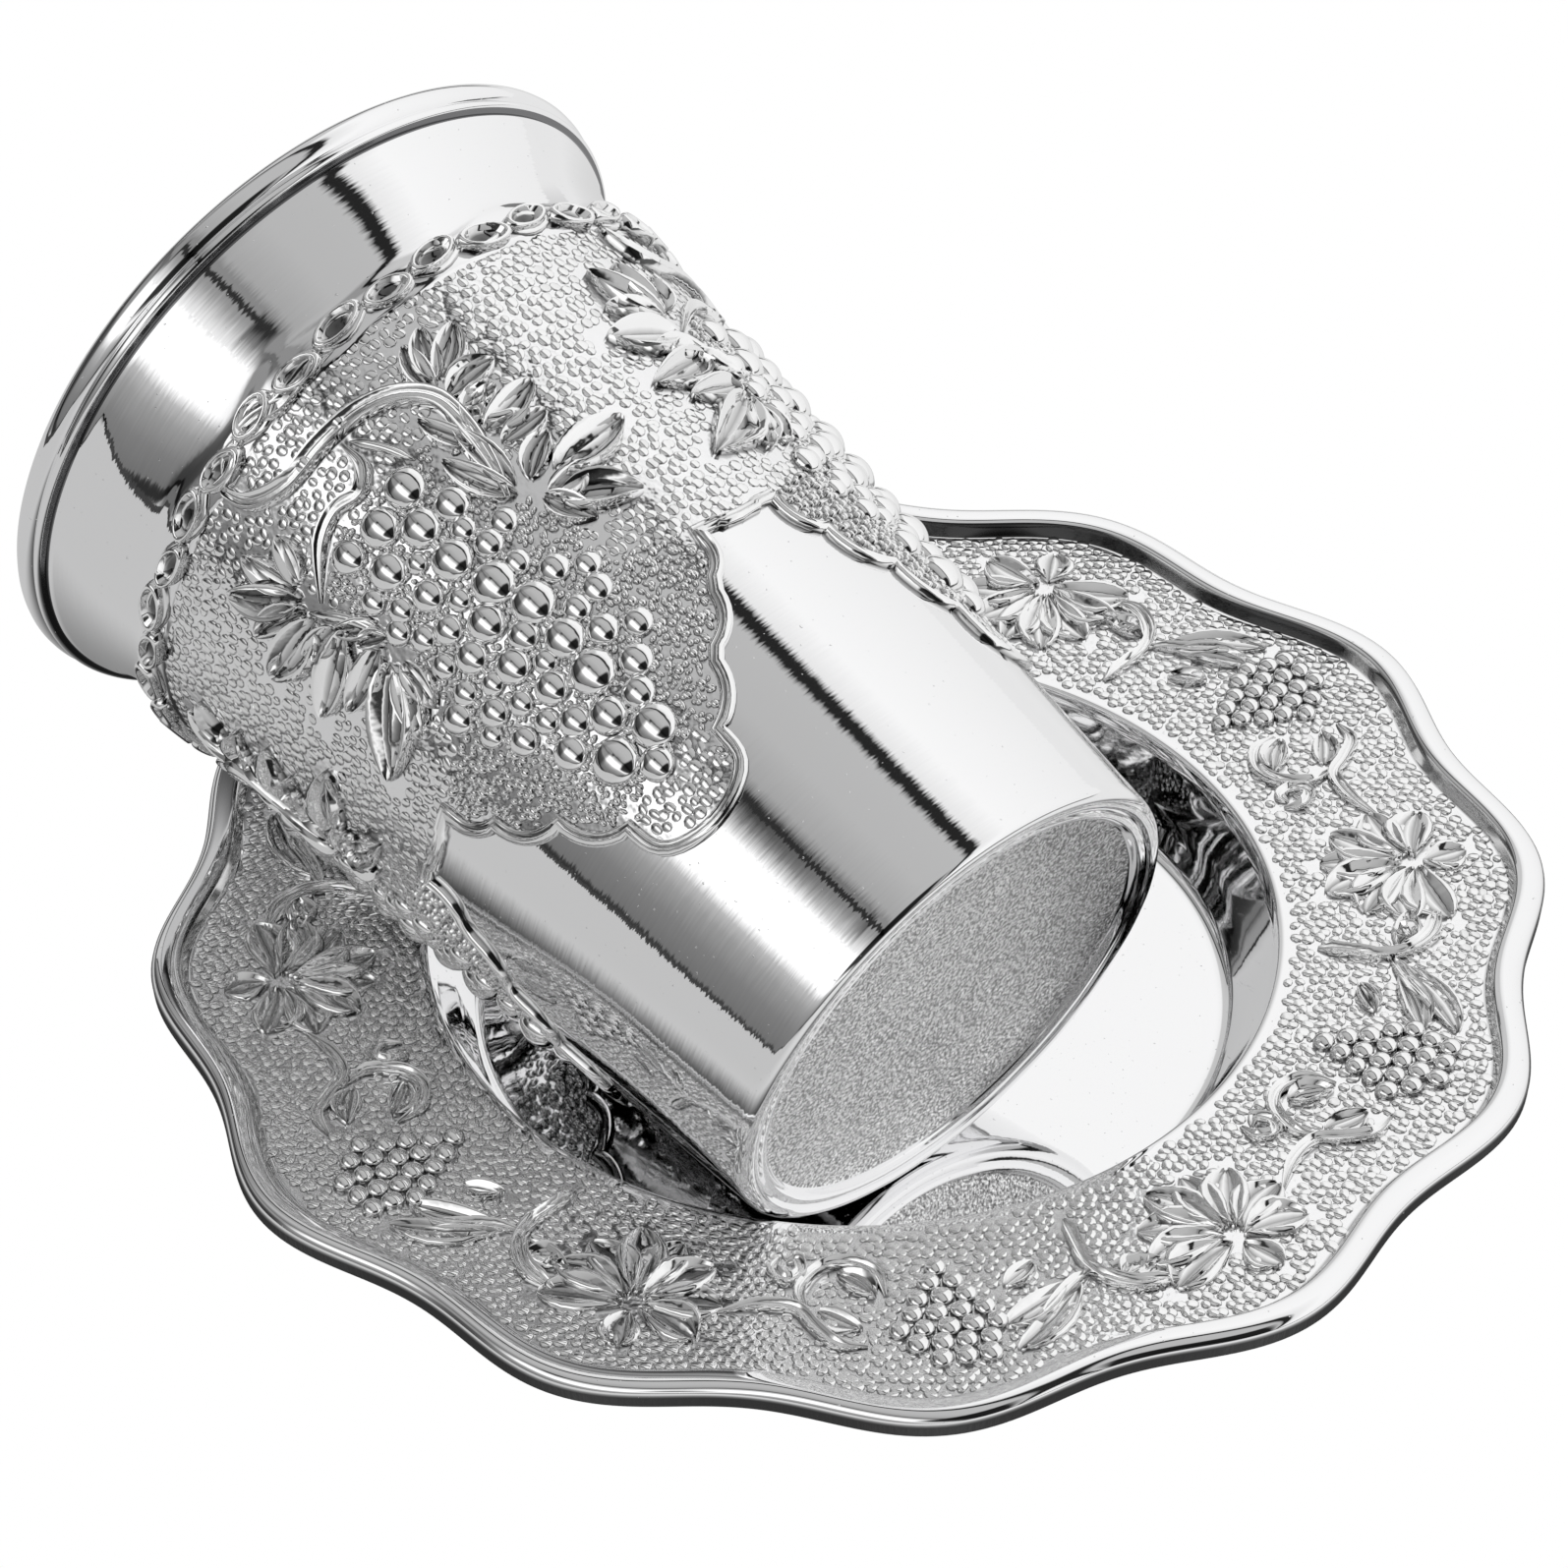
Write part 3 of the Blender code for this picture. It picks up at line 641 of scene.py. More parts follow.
def scatter(name, piece, places, finish, height, variation, spin, seed):
    # places: position, facing, along and girth in metres for each piece
    base = bpy.data.meshes.new(name + "Places")
    base.from_pydata([p[0] for p in places], [], [])
    for key, column in (("facing", 1), ("along", 2)):
        layer = base.attributes.new(key, "FLOAT_VECTOR", "POINT")
        layer.data.foreach_set("vector", np.array([tuple(p[column]) for p in places], np.float32).ravel())
    layer = base.attributes.new("girth", "FLOAT", "POINT")
    layer.data.foreach_set("value", np.array([p[3] for p in places], np.float32))
    holder = bpy.data.objects.new(name + "Holder", base)
    bpy.context.collection.objects.link(holder)
    modifier = holder.modifiers.new("setPieces", "NODES")
    modifier.node_group = setPieces
    values = {"Piece": piece, "Finish": finishes[finish], "Size": 1.0, "Height": height,
              "Variation": variation, "Spin": spin, "Seed": seed}
    for item in setPieces.interface.items_tree:
        if item.in_out == "INPUT" and item.name in values:
            modifier[item.identifier] = values[item.name]
    depsgraph = bpy.context.evaluated_depsgraph_get()
    mesh = bpy.data.meshes.new_from_object(holder.evaluated_get(depsgraph))
    mesh.name = name
    holder.modifiers.remove(modifier)
    bpy.data.objects.remove(holder)
    mesh.shade_smooth()
    return shown(mesh, name, [])


def nearPath(x, y, path):
    # distance from every point (x, y) to a polyline
    near = np.full(x.shape, 1e9)
    for a, b in zip(path, path[1:]):
        rx, ry = b[0] - a[0], b[1] - a[1]
        t = np.clip(((x - a[0]) * rx + (y - a[1]) * ry) / (rx * rx + ry * ry + 1e-12), 0, 1)
        near = np.minimum(near, np.hypot(x - a[0] - t * rx, y - a[1] - t * ry))
    return near


def insideShape(x, y, path):
    inside = np.zeros(x.shape, bool)
    for (ax, ay), (bx, by) in zip(path, path[1:] + path[:1]):
        inside ^= ((ay > y) != (by > y)) & (x < (bx - ax) * (y - ay) / (by - ay + 1e-12) + ax)
    return inside


def looseGrid(x0, x1, y0, y1, pitch, jitter, seed):
    # staggered rows of points, 0.87 of the pitch apart, each point a little off its place
    rng = np.random.default_rng(seed)
    out = []
    for i, y in enumerate(np.arange(y0, y1, pitch * 0.87)):
        xs = np.arange(x0 + (0.5 * pitch if i % 2 else 0.0), x1, pitch)
        out.append(np.c_[xs, np.full(len(xs), y)])
    pts = np.concatenate(out)
    return pts + rng.uniform(-jitter, jitter, pts.shape) * pitch


# vine panels on the cup

panelVine = {
    # leaflets: root angle and height, tip angle and height, width, bend
    "leaves": (
        (19.0, 62.5, 20.5, 67.6, 1.9, 0.2), (20.2, 63.2, 24.8, 68.0, 2.1, 0.2),
        (21.0, 63.0, 29.8, 66.6, 2.3, -0.3), (20.0, 61.2, 30.5, 61.6, 2.4, 0.3),
        (20.0, 60.0, 27.5, 59.4, 1.7, -0.3), (19.0, 57.6, 26.5, 60.6, 1.8, 0.3),
        (20.5, 56.6, 33.0, 58.0, 2.5, -0.4), (21.0, 54.8, 31.0, 54.9, 2.1, -0.2),
        (20.0, 50.6, 28.5, 53.2, 2.0, 0.3), (24.5, 50.0, 41.0, 50.7, 3.2, -0.4),
        (20.5, 48.4, 30.0, 48.6, 2.0, -0.3), (21.5, 47.6, 34.0, 43.7, 2.9, 0.3),
        (19.5, 48.6, 24.0, 44.0, 2.1, -0.2), (16.5, 50.2, 11.5, 57.2, 2.1, 0.4),
        (17.4, 51.0, 16.6, 58.6, 1.9, -0.2), (17.6, 56.0, 13.4, 61.5, 1.6, 0.3),
        (-23.0, 59.2, -31.8, 65.8, 2.7, 0.4), (-22.2, 60.2, -24.2, 66.2, 2.1, 0.3),
        (-21.0, 60.0, -17.0, 64.4, 1.9, -0.3), (-24.0, 58.4, -34.5, 61.6, 2.2, -0.3),
        (-24.0, 57.0, -39.2, 58.6, 3.3, 0.5), (-22.5, 55.0, -31.0, 56.4, 2.0, 0.2),
        (-21.5, 54.2, -38.6, 52.4, 3.0, 0.5), (-19.0, 50.6, -33.5, 50.2, 2.4, 0.5),
        (-20.0, 49.0, -39.0, 43.8, 3.7, 0.7), (-20.2, 48.0, -27.0, 42.6, 2.4, 0.3),
        (-18.4, 48.0, -20.5, 43.0, 2.0, 0.2), (-16.5, 52.0, -23.0, 55.0, 1.6, 0.2),
        (-17.0, 50.5, -22.0, 52.4, 1.5, -0.2),
    ),
    "leafLift": 1.3,
    # stems: points as angle and height, width, lift
    "stems": (
        (((-17, 71.9), (-17.6, 70.4), (-15.5, 68.0), (-9, 66.3), (0, 66.2), (8, 65.7), (14.5, 64.2),
          (18.5, 61.5), (18.6, 57.5), (17.2, 53.5), (15.0, 50.5)), 2.0, 1.15),
        (((-17, 71.3), (-12, 72.3), (-6, 72.3), (0, 71.4), (7, 71.8), (14, 71.6)), 1.6, 1.0),
        (((-21, 57.5), (-13, 60.4), (-7, 61.3), (-2, 60.6), (1.5, 62.0), (1.8, 64.8)), 1.5, 0.95),
        (((-24, 58.0), (-19.5, 54.5), (-16.5, 50.0)), 1.2, 0.8),
        (((3, 64.5), (6, 62.0), (8.5, 59.0)), 1.0, 0.7),
        (((18, 59), (24, 57), (28, 56.4)), 1.0, 0.7),
    ),
    "beads": ((-5.0, 66.2), (4.0, 66.5)),
    "beadRadius": 0.75,
    # grapes: x across the panel, height and radius
    "grapes": (
        (2.0, 57.7, 1.67), (-1.9, 57.0, 1.61), (0.5, 54.2, 1.61), (3.8, 53.7, 1.45), (2.9, 51.4, 1.06),
        (5.7, 49.3, 1.13), (-5.6, 57.6, 1.38), (-4.1, 53.9, 1.54), (-1.9, 52.4, 0.90), (0.4, 50.1, 1.67),
        (3.5, 48.8, 1.22), (1.4, 45.9, 1.77), (4.0, 45.8, 1.06), (5.8, 43.1, 1.22), (8.0, 41.4, 1.06),
        (-7.0, 53.4, 1.06), (-5.8, 50.9, 1.06), (-3.2, 49.7, 1.29), (-1.6, 47.3, 0.97), (2.5, 42.1, 1.77),
        (7.1, 39.2, 1.22), (4.7, 39.1, 1.13), (-7.4, 49.9, 1.06), (-6.2, 47.7, 1.06), (-4.1, 46.3, 1.19),
        (-1.4, 44.0, 1.54), (0.0, 40.8, 1.29), (2.2, 37.9, 1.61), (4.9, 36.1, 1.29), (7.4, 34.5, 1.19),
        (-6.7, 44.7, 1.06), (-4.4, 43.1, 1.35), (-2.5, 39.7, 1.45), (-0.3, 37.8, 1.03), (1.8, 34.0, 1.83),
        (5.0, 32.1, 1.35), (-7.1, 41.7, 1.06), (-4.8, 40.2, 0.97), (-1.5, 35.8, 1.38), (3.2, 29.9, 1.29),
        (-9.2, 40.9, 1.29), (-6.5, 38.5, 1.22), (-4.3, 37.1, 1.03), (-3.9, 34.3, 1.03), (-2.2, 32.3, 1.29),
        (0.1, 30.4, 1.51), (2.1, 26.8, 1.77), (-8.2, 37.5, 0.97), (-6.5, 34.8, 1.19), (-4.4, 30.8, 1.38),
        (-2.2, 27.2, 1.87), (0.0, 24.4, 1.35),
    ),
    "grapeFull": 1.19,  # how much wider than that a grape's foot is
}


def flatSpot(angle, h):
    return math.radians(angle) * wallRadius(h), h


def flatLeaf(entry):
    a, h0, b, h1, width, bend = entry
    return flatSpot(a, h0), flatSpot(b, h1), width, bend


def flatStem(points):
    return [flatSpot(a, h) for a, h in points]


def buildPanelVines():
    verts, faces = [], []
    for panel in range(4):
        put = onPanel(panel)
        for entry in panelVine["leaves"]:
            root, tip, width, bend = flatLeaf(entry)
            addLeaf(put, root, tip, width, bend, panelVine["leafLift"] * (0.62 + 0.15 * width), verts, faces)
        for points, width, lift in panelVine["stems"]:
            addVine(put, flatStem(points), width, lift, verts, faces)
    return reliefObject("panelVines", verts, faces)


panelVines = buildPanelVines()
print("panel vines done,", len(panelVines.data.polygons), "faces")


def cupSpot(turn, h, lift, girth):
    # one piece standing on the wall, which leans outwards by 0.08
    facing = cupTurn @ Vector((math.cos(turn), math.sin(turn), -0.08))
    along = cupTurn @ Vector((-math.sin(turn), math.cos(turn), 0.0))
    return (cupPoint(turn, wallRadius(h) + lift, h), facing.normalized(), along.normalized(), girth * mm)


def grapeProfile():
    # steep foot under a flatter rounded cap, radius and height 1
    rings = [(0.98, -0.3), (1.0, 0.05), (0.985, 0.25), (0.94, 0.42)]
    bend, edge = 1.53, 0.88
    base = math.sqrt(1 - (edge / bend) ** 2)
    for r in (0.88, 0.76, 0.62, 0.46, 0.30, 0.14):
        rings.append((r, 0.55 + 0.45 * (math.sqrt(1 - (r / bend) ** 2) - base) / (1 - base)))
    return rings


grapeBall = dome("grapeBall", grapeProfile(), 18)


def buildCupGrapes():
    s = panelVine
    places = []
    for panel in range(4):
        middle = panel * math.pi / 2
        for x, h, radius in s["grapes"]:
            places.append(cupSpot(middle + x / wallRadius(h), h, 0.0, radius * s["grapeFull"]))
        for a, h in s["beads"]:
            places.append(cupSpot(middle + math.radians(a), h, 0.3, s["beadRadius"]))
    return scatter("cupGrapes", grapeBall, places, "cast", height=0.82, variation=0.0, spin=0.0, seed=3)


cupGrapes = buildCupGrapes()
print("cup grapes done")


# chain of links round the collar, with two wavy strands crossing between them

chainShape = {
    "links": 36, "height": 72.4, "swing": 0.30, "lean": 9.0,
    "halfLength": 2.8, "halfWidth": 1.3, "thick": 1.15,
    "strandWidth": 0.75, "strandLift": 0.45, "strandSwing": 1.0, "strandSteps": 216,
}


def linkPoint(r, z, turn):
    # oval with slightly pinched ends, its length along X
    pinch = 0.82 + 0.18 * abs(math.sin(turn))
    return (chainShape["halfLength"] * r * math.cos(turn),
            chainShape["halfWidth"] * r * math.sin(turn) * pinch, z * chainShape["thick"])


linkRings = ((1.0, -0.25), (0.99, 0.2), (0.93, 0.70), (0.82, 0.90), (0.71, 0.74), (0.62, 0.30), (0.40, 0.04))
chainLink = cappedObject("chainLink", linkRings, 20, 0.0, linkPoint)


def chainWave(turn):
    return 0.25 * math.sin(3 * turn)


def buildChain():
    s = chainShape
    places = []
    for i in range(s["links"]):
        turn = 2 * math.pi * (i + 0.5) / s["links"]
        up = 1 if i % 2 else -1
        h = s["height"] + up * s["swing"] + chainWave(turn)
        spot, facing, along, girth = cupSpot(turn, h, cupShape["collarRise"] + 0.05, 1.0)
        lean = Matrix.Rotation(math.radians(s["lean"] * up), 3, facing)
        places.append((spot, facing, lean @ along, girth))
    return scatter("chainLinks", chainLink, places, "cast", height=1.0, variation=0.06, spin=0.05, seed=5)


def buildStrands():
    s = chainShape
    neck = cupShape["neckRadius"]
    verts, faces = [], []

    def put(x, h, lift):
        return cupPoint(x / neck, wallRadius(h) + cupShape["collarRise"] + lift, h)

    for phase, level in ((0.0, -0.1), (math.pi, 0.15)):
        points = []
        for i in range(s["strandSteps"] + 1):
            turn = 2 * math.pi * i / s["strandSteps"]
            wave = s["strandSwing"] * math.sin(s["links"] / 2 * turn + phase)
            points.append((neck * turn, s["height"] + level + wave + chainWave(turn)))
        sweepSection(put, points, roundSection(s["strandWidth"], s["strandLift"]), verts, faces)
    return reliefObject("chainStrands", verts, faces)


chainLinks = buildChain()
chainStrands = buildStrands()
print("chain done")


# pebbled ground on the cup

pebbleShape = {
    "coarse": {"pitch": 1.14, "jitter": 0.25, "girth": 0.56, "seed": 20},
    "fine": {"pitch": 0.75, "jitter": 0.36, "girth": 0.43, "seed": 40},
    "low": 17.0, "top": 70.6,
    "flatRadius": 28.5,  # rows are laid out flat round this radius and narrowed towards the foot
}
sheetShape = {"low": 16.4, "top": 71.3, "step": 0.8, "columns": 56, "lift": 0.05, "edge": 0.3}
pebbleDome = dome("pebbleDome", [(1.0, -0.3), (0.94, 0.62), (0.78, 1.0)], 9)
gritDome = dome("gritDome", [(1.0, -0.2), (0.62, 0.80)], 7)


def panelPoints(pitch, jitter, seed):
    # places inside the border that are clear of grapes, leaves and stems
    s = pebbleShape
    edge = math.pi / 4 * s["flatRadius"]
    pts = looseGrid(-edge, edge, s["low"], s["top"], pitch, jitter, seed)
    x = pts[:, 0] / s["flatRadius"] * wallRadii(pts[:, 1])
    h = pts[:, 1]
    keep = insideShape(x, h, panelOutline()) & (nearPath(x, h, borderPath()) > 0.95)
    for gx, gh, radius in panelVine["grapes"]:
        keep &= np.hypot(x - gx, h - gh) > radius * 1.1
    for entry in panelVine["leaves"]:
        root, tip, width, bend = flatLeaf(entry)
        keep &= nearPath(x, h, (root, tip)) > width * 0.46
    for points, width, lift in panelVine["stems"]:
        keep &= nearPath(x, h, list(curveThrough(flatStem(points), 2))) > width * 0.5 + 0.1
    return x[keep], h[keep]


def isFine(x, h):
    # the ground is rougher in the scallops along the border and among the grapes
    turn = np.degrees(x / wallRadii(h))
    scallops = (h < 42.5 - 0.12 * np.abs(turn)) & (np.abs(turn) < 35) & ~((h < 25.0) & (np.abs(turn) < 9.5))
    amongGrapes = (np.abs(x) < 9.5) & (h < 59.5) & (h > 24)
    return scallops | amongGrapes


def buildPanelGround():
    # thin sheet inside each panel's border, a little proud of the polished wall
    s = sheetShape
    verts, faces = [], []
    rows = np.arange(s["low"], s["top"], s["step"])
    columns = s["columns"]
    outline = panelOutline()
    for panel in range(4):
        start = len(verts)
        for h in rows:
            for j in range(columns + 1):
                turn = panel * math.pi / 2 + (j / columns - 0.5) * math.pi / 2
                verts.append(cupPoint(turn, wallRadius(h) + s["lift"], h))
        for i in range(len(rows) - 1):
            h = rows[i] + 0.5 * s["step"]
            xs = ((np.arange(columns) + 0.5) / columns - 0.5) * math.pi / 2 * wallRadius(h)
            for j in np.flatnonzero(insideShape(xs, np.full(columns, h), outline)):
                a = start + i * (columns + 1) + int(j)
                faces.append((a, a + 1, a + columns + 2, a + columns + 1))
    mesh = smoothMesh("panelGround", verts, faces)
    bm = bmesh.new()
    bm.from_mesh(mesh)
    bmesh.ops.delete(bm, geom=[v for v in bm.verts if not v.link_faces], context="VERTS")
    bmesh.ops.remove_doubles(bm, verts=bm.verts[:], dist=0.00001)
    made = bmesh.ops.extrude_edge_only(bm, edges=[e for e in bm.edges if e.is_boundary])
    for v in made["geom"]:
        if isinstance(v, bmesh.types.BMVert):
            inward = v.co - cupPlace.translation
            inward -= cupAxis * inward.dot(cupAxis)
            v.co -= inward.normalized() * s["edge"] * mm
    bmesh.ops.recalc_face_normals(bm, faces=bm.faces[:])
    outside = sum(f.normal.dot(f.calc_center_median() - cupPoint(0, 0, 45)) for f in bm.faces)
    if outside < 0:
        bmesh.ops.reverse_faces(bm, faces=bm.faces[:])
    # the same order of faces in every run
    slant = Vector((1.0, 0.37, 0.61))
    bm.faces.sort(key=lambda face: face.calc_center_median().dot(slant))
    bm.to_mesh(mesh)
    bm.free()
    mesh.shade_smooth()
    mesh.set_sharp_from_angle(angle=math.radians(50))
    return shown(mesh, "panelGround", [finishes["ground"]])


panelGround = buildPanelGround()


def pebblePlaces(kind):
    s = pebbleShape[kind]
    places = []
    for panel in range(4):
        x, h = panelPoints(s["pitch"], s["jitter"], s["seed"] + panel)
        pick = isFine(x, h) == (kind == "fine")
        for a, b in zip(x[pick], h[pick]):
            places.append(cupSpot(panel * math.pi / 2 + a / wallRadius(b), b, 0.0, s["girth"]))
    print("cup pebbles:", len(places), kind)
    return places


cupPebbles = scatter("cupPebbles", pebbleDome, pebblePlaces("coarse"), "pebble",
                     height=0.31, variation=0.24, spin=3.14, seed=11)
cupGrit = scatter("cupGrit", gritDome, pebblePlaces("fine"), "pebble",
                  height=1.1, variation=0.4, spin=3.14, seed=12)
raisedOnCup = (panelBorders, panelVines, cupGrapes, chainLinks, chainStrands, cupPebbles, cupGrit)


def markFeet(piece, liftOf, reach, base=0.0, depth=1.0):
    # attribute for the painted shade: depth where a raised shape meets its ground and 0 from reach
    # millimetres up
    mesh = piece.data
    spots = np.empty(len(mesh.vertices) * 3, np.float32)
    mesh.vertices.foreach_get("co", spots)
    lift = liftOf(spots.reshape(-1, 3).astype(float) / mm)
    layer = mesh.attributes.new("crevice", "FLOAT", "POINT")
    layer.data.foreach_set("value", depth * np.clip(1.0 - (lift - base) / reach, 0.0, 1.0).astype(np.float32))


def liftOnCup(spots):
    back = np.array(cupPlace.inverted())
    local = spots @ back[:3, :3].T + back[:3, 3] / mm
    return np.hypot(local[:, 0], local[:, 1]) - wallRadii(local[:, 2])


# reach of each one's painted shade at its foot, and how high its ground lies above the wall
feetOnCup = ((0.36, 0.0), (0.34, 0.0), (0.34, 0.0), (0.40, 0.42), (0.25, 0.35), (0.15, 0.0), (0.36, 0.0))
for piece, (reach, base) in zip(raisedOnCup, feetOnCup):
    markFeet(piece, liftOnCup, reach, base)
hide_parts("cup")
print("cup done")


# saucer

saucerShape = {
    "radius": 61.9, "lobe": 1.45, "lobes": 12, "lobeTurn": 6.0,
    "wall": 0.9, "floorRadius": 34.5, "rimRadius": 38.5, "plane": 9.3,
    "bandStart": 39.6, "bandInset": 3.75, "bandRise": 0.4,
    "riseStart": 39.3, "riseWidth": 18.4,  # the band rises over this width
    "middleRadius": 50.0, "around": 480,
}


def edgeRadius(turn, cos=math.cos):
    s = saucerShape
    return s["radius"] + s["lobe"] * cos(s["lobes"] * (turn - math.radians(s["lobeTurn"])))


def bandHeight(r):
    s = saucerShape
    return s["plane"] + s["bandRise"] * (r - s["riseStart"]) / s["riseWidth"]


def saucerProfile():
    # rings from the middle of the well outwards and back underneath: way, radius, height and finish
    # a "round" ring has its radius, a "band" ring its share of the band's width, a "lobed" one its inset
    s = saucerShape
    plane, floor = s["plane"], s["wall"]
    well, turned, ground, filed, groove = range(5)
    slope = (s["rimRadius"] - s["floorRadius"]) / (plane - floor)

    def rings(way, finish, level, *spots):
        return [(way, r, level + z, finish) for r, z in spots]

    out = rings("round", well, floor, (8.0, 0), (20.0, 0), (32.5, 0), (33.7, 0), (34.2, 0.08), (34.5, 0.35),
                (34.75, 0.85))
    for z in (3.0, 4.5, 6.0, 7.2, 8.0, 8.5):
        out += rings("round", well, 0, (s["floorRadius"] + slope * (z - floor), z))
    out += rings("round", well, 0, (38.40, 8.92), (38.47, 9.12), (38.58, 9.24), (38.80, 9.30), (39.25, 9.31))
    out += rings("round", ground, plane, (s["bandStart"], 0))
    out += rings("band", ground, 0, (0.2, 0), (0.4, 0), (0.6, 0), (0.8, 0))
    out += rings("lobed", well, plane, (3.75, 0.40), (3.5, 0.40))
    out += rings("lobed", groove, plane, (3.34, 0.44), (3.24, 0.58), (2.90, 1.20), (2.72, 1.50))
    out += rings("lobed", well, plane, (2.58, 1.66), (2.40, 1.76), (2.1, 1.82), (1.6, 1.86), (1.15, 1.87),
                 (0.8, 1.82), (0.5, 1.70), (0.25, 1.48), (0.08, 1.18), (0.0, 0.85))
    out += rings("lobed", filed, plane, (0.02, 0.7), (0.06, 0.1), (0.1, -0.35))
    out += rings("lobed", turned, plane, (0.35, -0.42), (0.75, -0.3), (1.05, 0.3), (1.4, 0.95), (2.0, 1.05),
                 (3.0, 0.1), (4.2, -0.5))
    out += rings("round", turned, plane, (48.0, -0.8), (40.6, -0.9), (39.6, -1.1), (39.1, -1.8))
    return out + rings("round", turned, 0, (36.2, 1.0), (35.9, 0.35), (35.4, 0.05), (34.8, 0.0), (30.0, 0.0),
                       (12.0, 0.0))


def buildSaucerShell():
    s = saucerShape
    profile = saucerProfile()
    sides = s["around"]
    turns = [2 * math.pi * j / sides for j in range(sides)]

    def place(i, j):
        way, r, z, finish = profile[i]
        if way == "lobed":
            r = edgeRadius(turns[j]) - r
        elif way == "band":
            z = s["plane"] + s["bandRise"] * r
            r = s["bandStart"] + (edgeRadius(turns[j]) - s["bandInset"] - s["bandStart"]) * r
        return Vector((r * math.cos(turns[j]) * mm, r * math.sin(turns[j]) * mm, z * mm))

    run = [0.0]
    for i in range(len(profile) - 1):
        run.append(run[-1] + (place(i + 1, 0) - place(i, 0)).length / mm)
    tips = (Vector((0, 0, s["wall"] * mm)), Vector((0, 0, 0)))
    mesh = gridMesh("saucerShell", [ring[3] for ring in profile], sides, place,
                    2 * math.pi * s["middleRadius"] / sides, run, tips, 40)
    turnOutwards(mesh)
    names = ("well", "turned", "ground", "filed", "groove")
    return shown(mesh, "saucerShell", [finishes[name] for name in names])


saucerShell = buildSaucerShell()
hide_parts("saucer")
print("saucer shell done,", len(saucerShell.data.polygons), "faces")


def onBand(x, y, lift):
    return Vector((x * mm, y * mm, (bandHeight(math.hypot(x, y)) + lift) * mm))


def bandPoint(deg, r):
    return (r * math.cos(math.radians(deg)), r * math.sin(math.radians(deg)))


saucerVine = {
    "leafTurn": 8.0, "leafStep": 60, "clusterTurn": 30,
    # leaflets from the middle of a leaf: root and tip as degrees round the band and radius, width, bend
    "leaflets": (
        (-0.7, 52.4, -8.6, 54.0, 2.7, 1.0), (-0.9, 51.7, -9.2, 50.4, 2.3, 0.9),
        (-0.8, 51.2, -7.6, 46.4, 2.5, 0.9), (-0.4, 50.8, -3.6, 43.2, 2.4, 0.4),
        (0.2, 50.8, 1.6, 43.4, 2.3, -0.3), (0.7, 51.1, 6.2, 45.4, 2.4, -0.6),
        (1.0, 51.6, 8.4, 49.8, 2.4, -0.7), (0.7, 52.2, 7.0, 54.2, 2.5, -0.8),
        (0.0, 52.8, 0.8, 57.0, 2.1, 0.3), (-12.3, 50.8, -9.6, 49.0, 1.3, 0.2),
    ),
    # blades beside a grape cluster, from its middle
    "blades": (
        (5.5, 55.6, 14.0, 49.2, 1.9, 0.9), (5.0, 52.6, 12.5, 49.4, 1.8, 0.5),
        (-12.4, 49.2, -8.0, 51.4, 1.7, 0.3), (-10.6, 44.6, -6.6, 47.6, 1.7, -0.4),
        (17.0, 49.4, 22.4, 50.4, 1.7, 0.3), (6.5, 48.0, 10.5, 46.0, 1.3, 0.2),
    ),
    # how much wider than that leaflets and blades are made, and how near the tip they are widest
    "shapes": {"leaflets": (1.42, 1.3), "blades": (1.22, 0.85)},
    "leafStems": (((-13.5, 44.0), (-14.6, 47.0), (-13.6, 50.2), (-11.0, 52.4), (-7.6, 53.2)),),
    "clusterStems": (
        ((-22.0, 50.6), (-18.5, 49.2), (-14.6, 49.2), (-12.6, 51.2), (-10.4, 53.2), (-7.6, 53.4)),
        ((-13.4, 49.4), (-14.4, 47.0), (-12.6, 44.2), (-9.4, 43.4), (-6.4, 44.8), (-5.6, 47.4)),
        ((15.4, 48.6), (15.9, 45.2), (16.4, 42.0)),
        ((15.4, 48.6), (18.4, 51.6), (22.4, 52.8)),
        ((15.4, 48.6), (11.4, 50.6), (8.0, 53.6)),
        ((-17.2, 43.0), (-17.6, 44.8), (-16.0, 45.9), (-14.6, 44.9), (-15.2, 43.4), (-16.4, 43.7)),
    ),
    "stemWidth": 1.4, "stemLift": 0.8,
    # rows of a cluster: radius on the band, number of grapes, shift
    "rows": ((44.6, 1, 0.0), (46.4, 2, 0.2), (48.2, 3, 0.0), (50.0, 4, 0.3), (51.8, 5, 0.0), (53.6, 4, 0.2),
             (55.4, 3, 0.9)),
    "grape": 1.0, "grapePitch": 2.08, "lift": 0.9,
}


def motifAngles():
    s = saucerVine
    for k in range(6):
        leafAt = s["leafTurn"] + s["leafStep"] * k
        yield leafAt, s["leafTurn"] + s["clusterTurn"] + s["leafStep"] * k


def motifLeaves(leafAt, clusterAt):
    for base, kind in ((leafAt, "leaflets"), (clusterAt, "blades")):
        for i, (a, r0, b, r1, width, bend) in enumerate(saucerVine[kind]):
            yield kind, i, bandPoint(base + a, r0), bandPoint(base + b, r1), width, bend


def motifStems(leafAt, clusterAt):
    for base, kind in ((leafAt, "leafStems"), (clusterAt, "clusterStems")):
        for stem in saucerVine[kind]:
            yield [bandPoint(base + a, r) for a, r in stem]


def buildSaucerVines():
    s = saucerVine
    verts, faces = [], []
    for angles in motifAngles():
        for kind, i, root, tip, width, bend in motifLeaves(*angles):
            # every other leaflet lies a little lower, under its neighbours
            height = s["lift"] * (0.78, 1.0)[i % 2]
            wide, full = s["shapes"][kind]
            addLeaf(onBand, root, tip, wide * width, -bend, height, verts, faces, full)
        for stem in motifStems(*angles):
            addVine(onBand, stem, s["stemWidth"], s["stemLift"], verts, faces)
    return reliefObject("saucerVines", verts, faces)


saucerVines = buildSaucerVines()


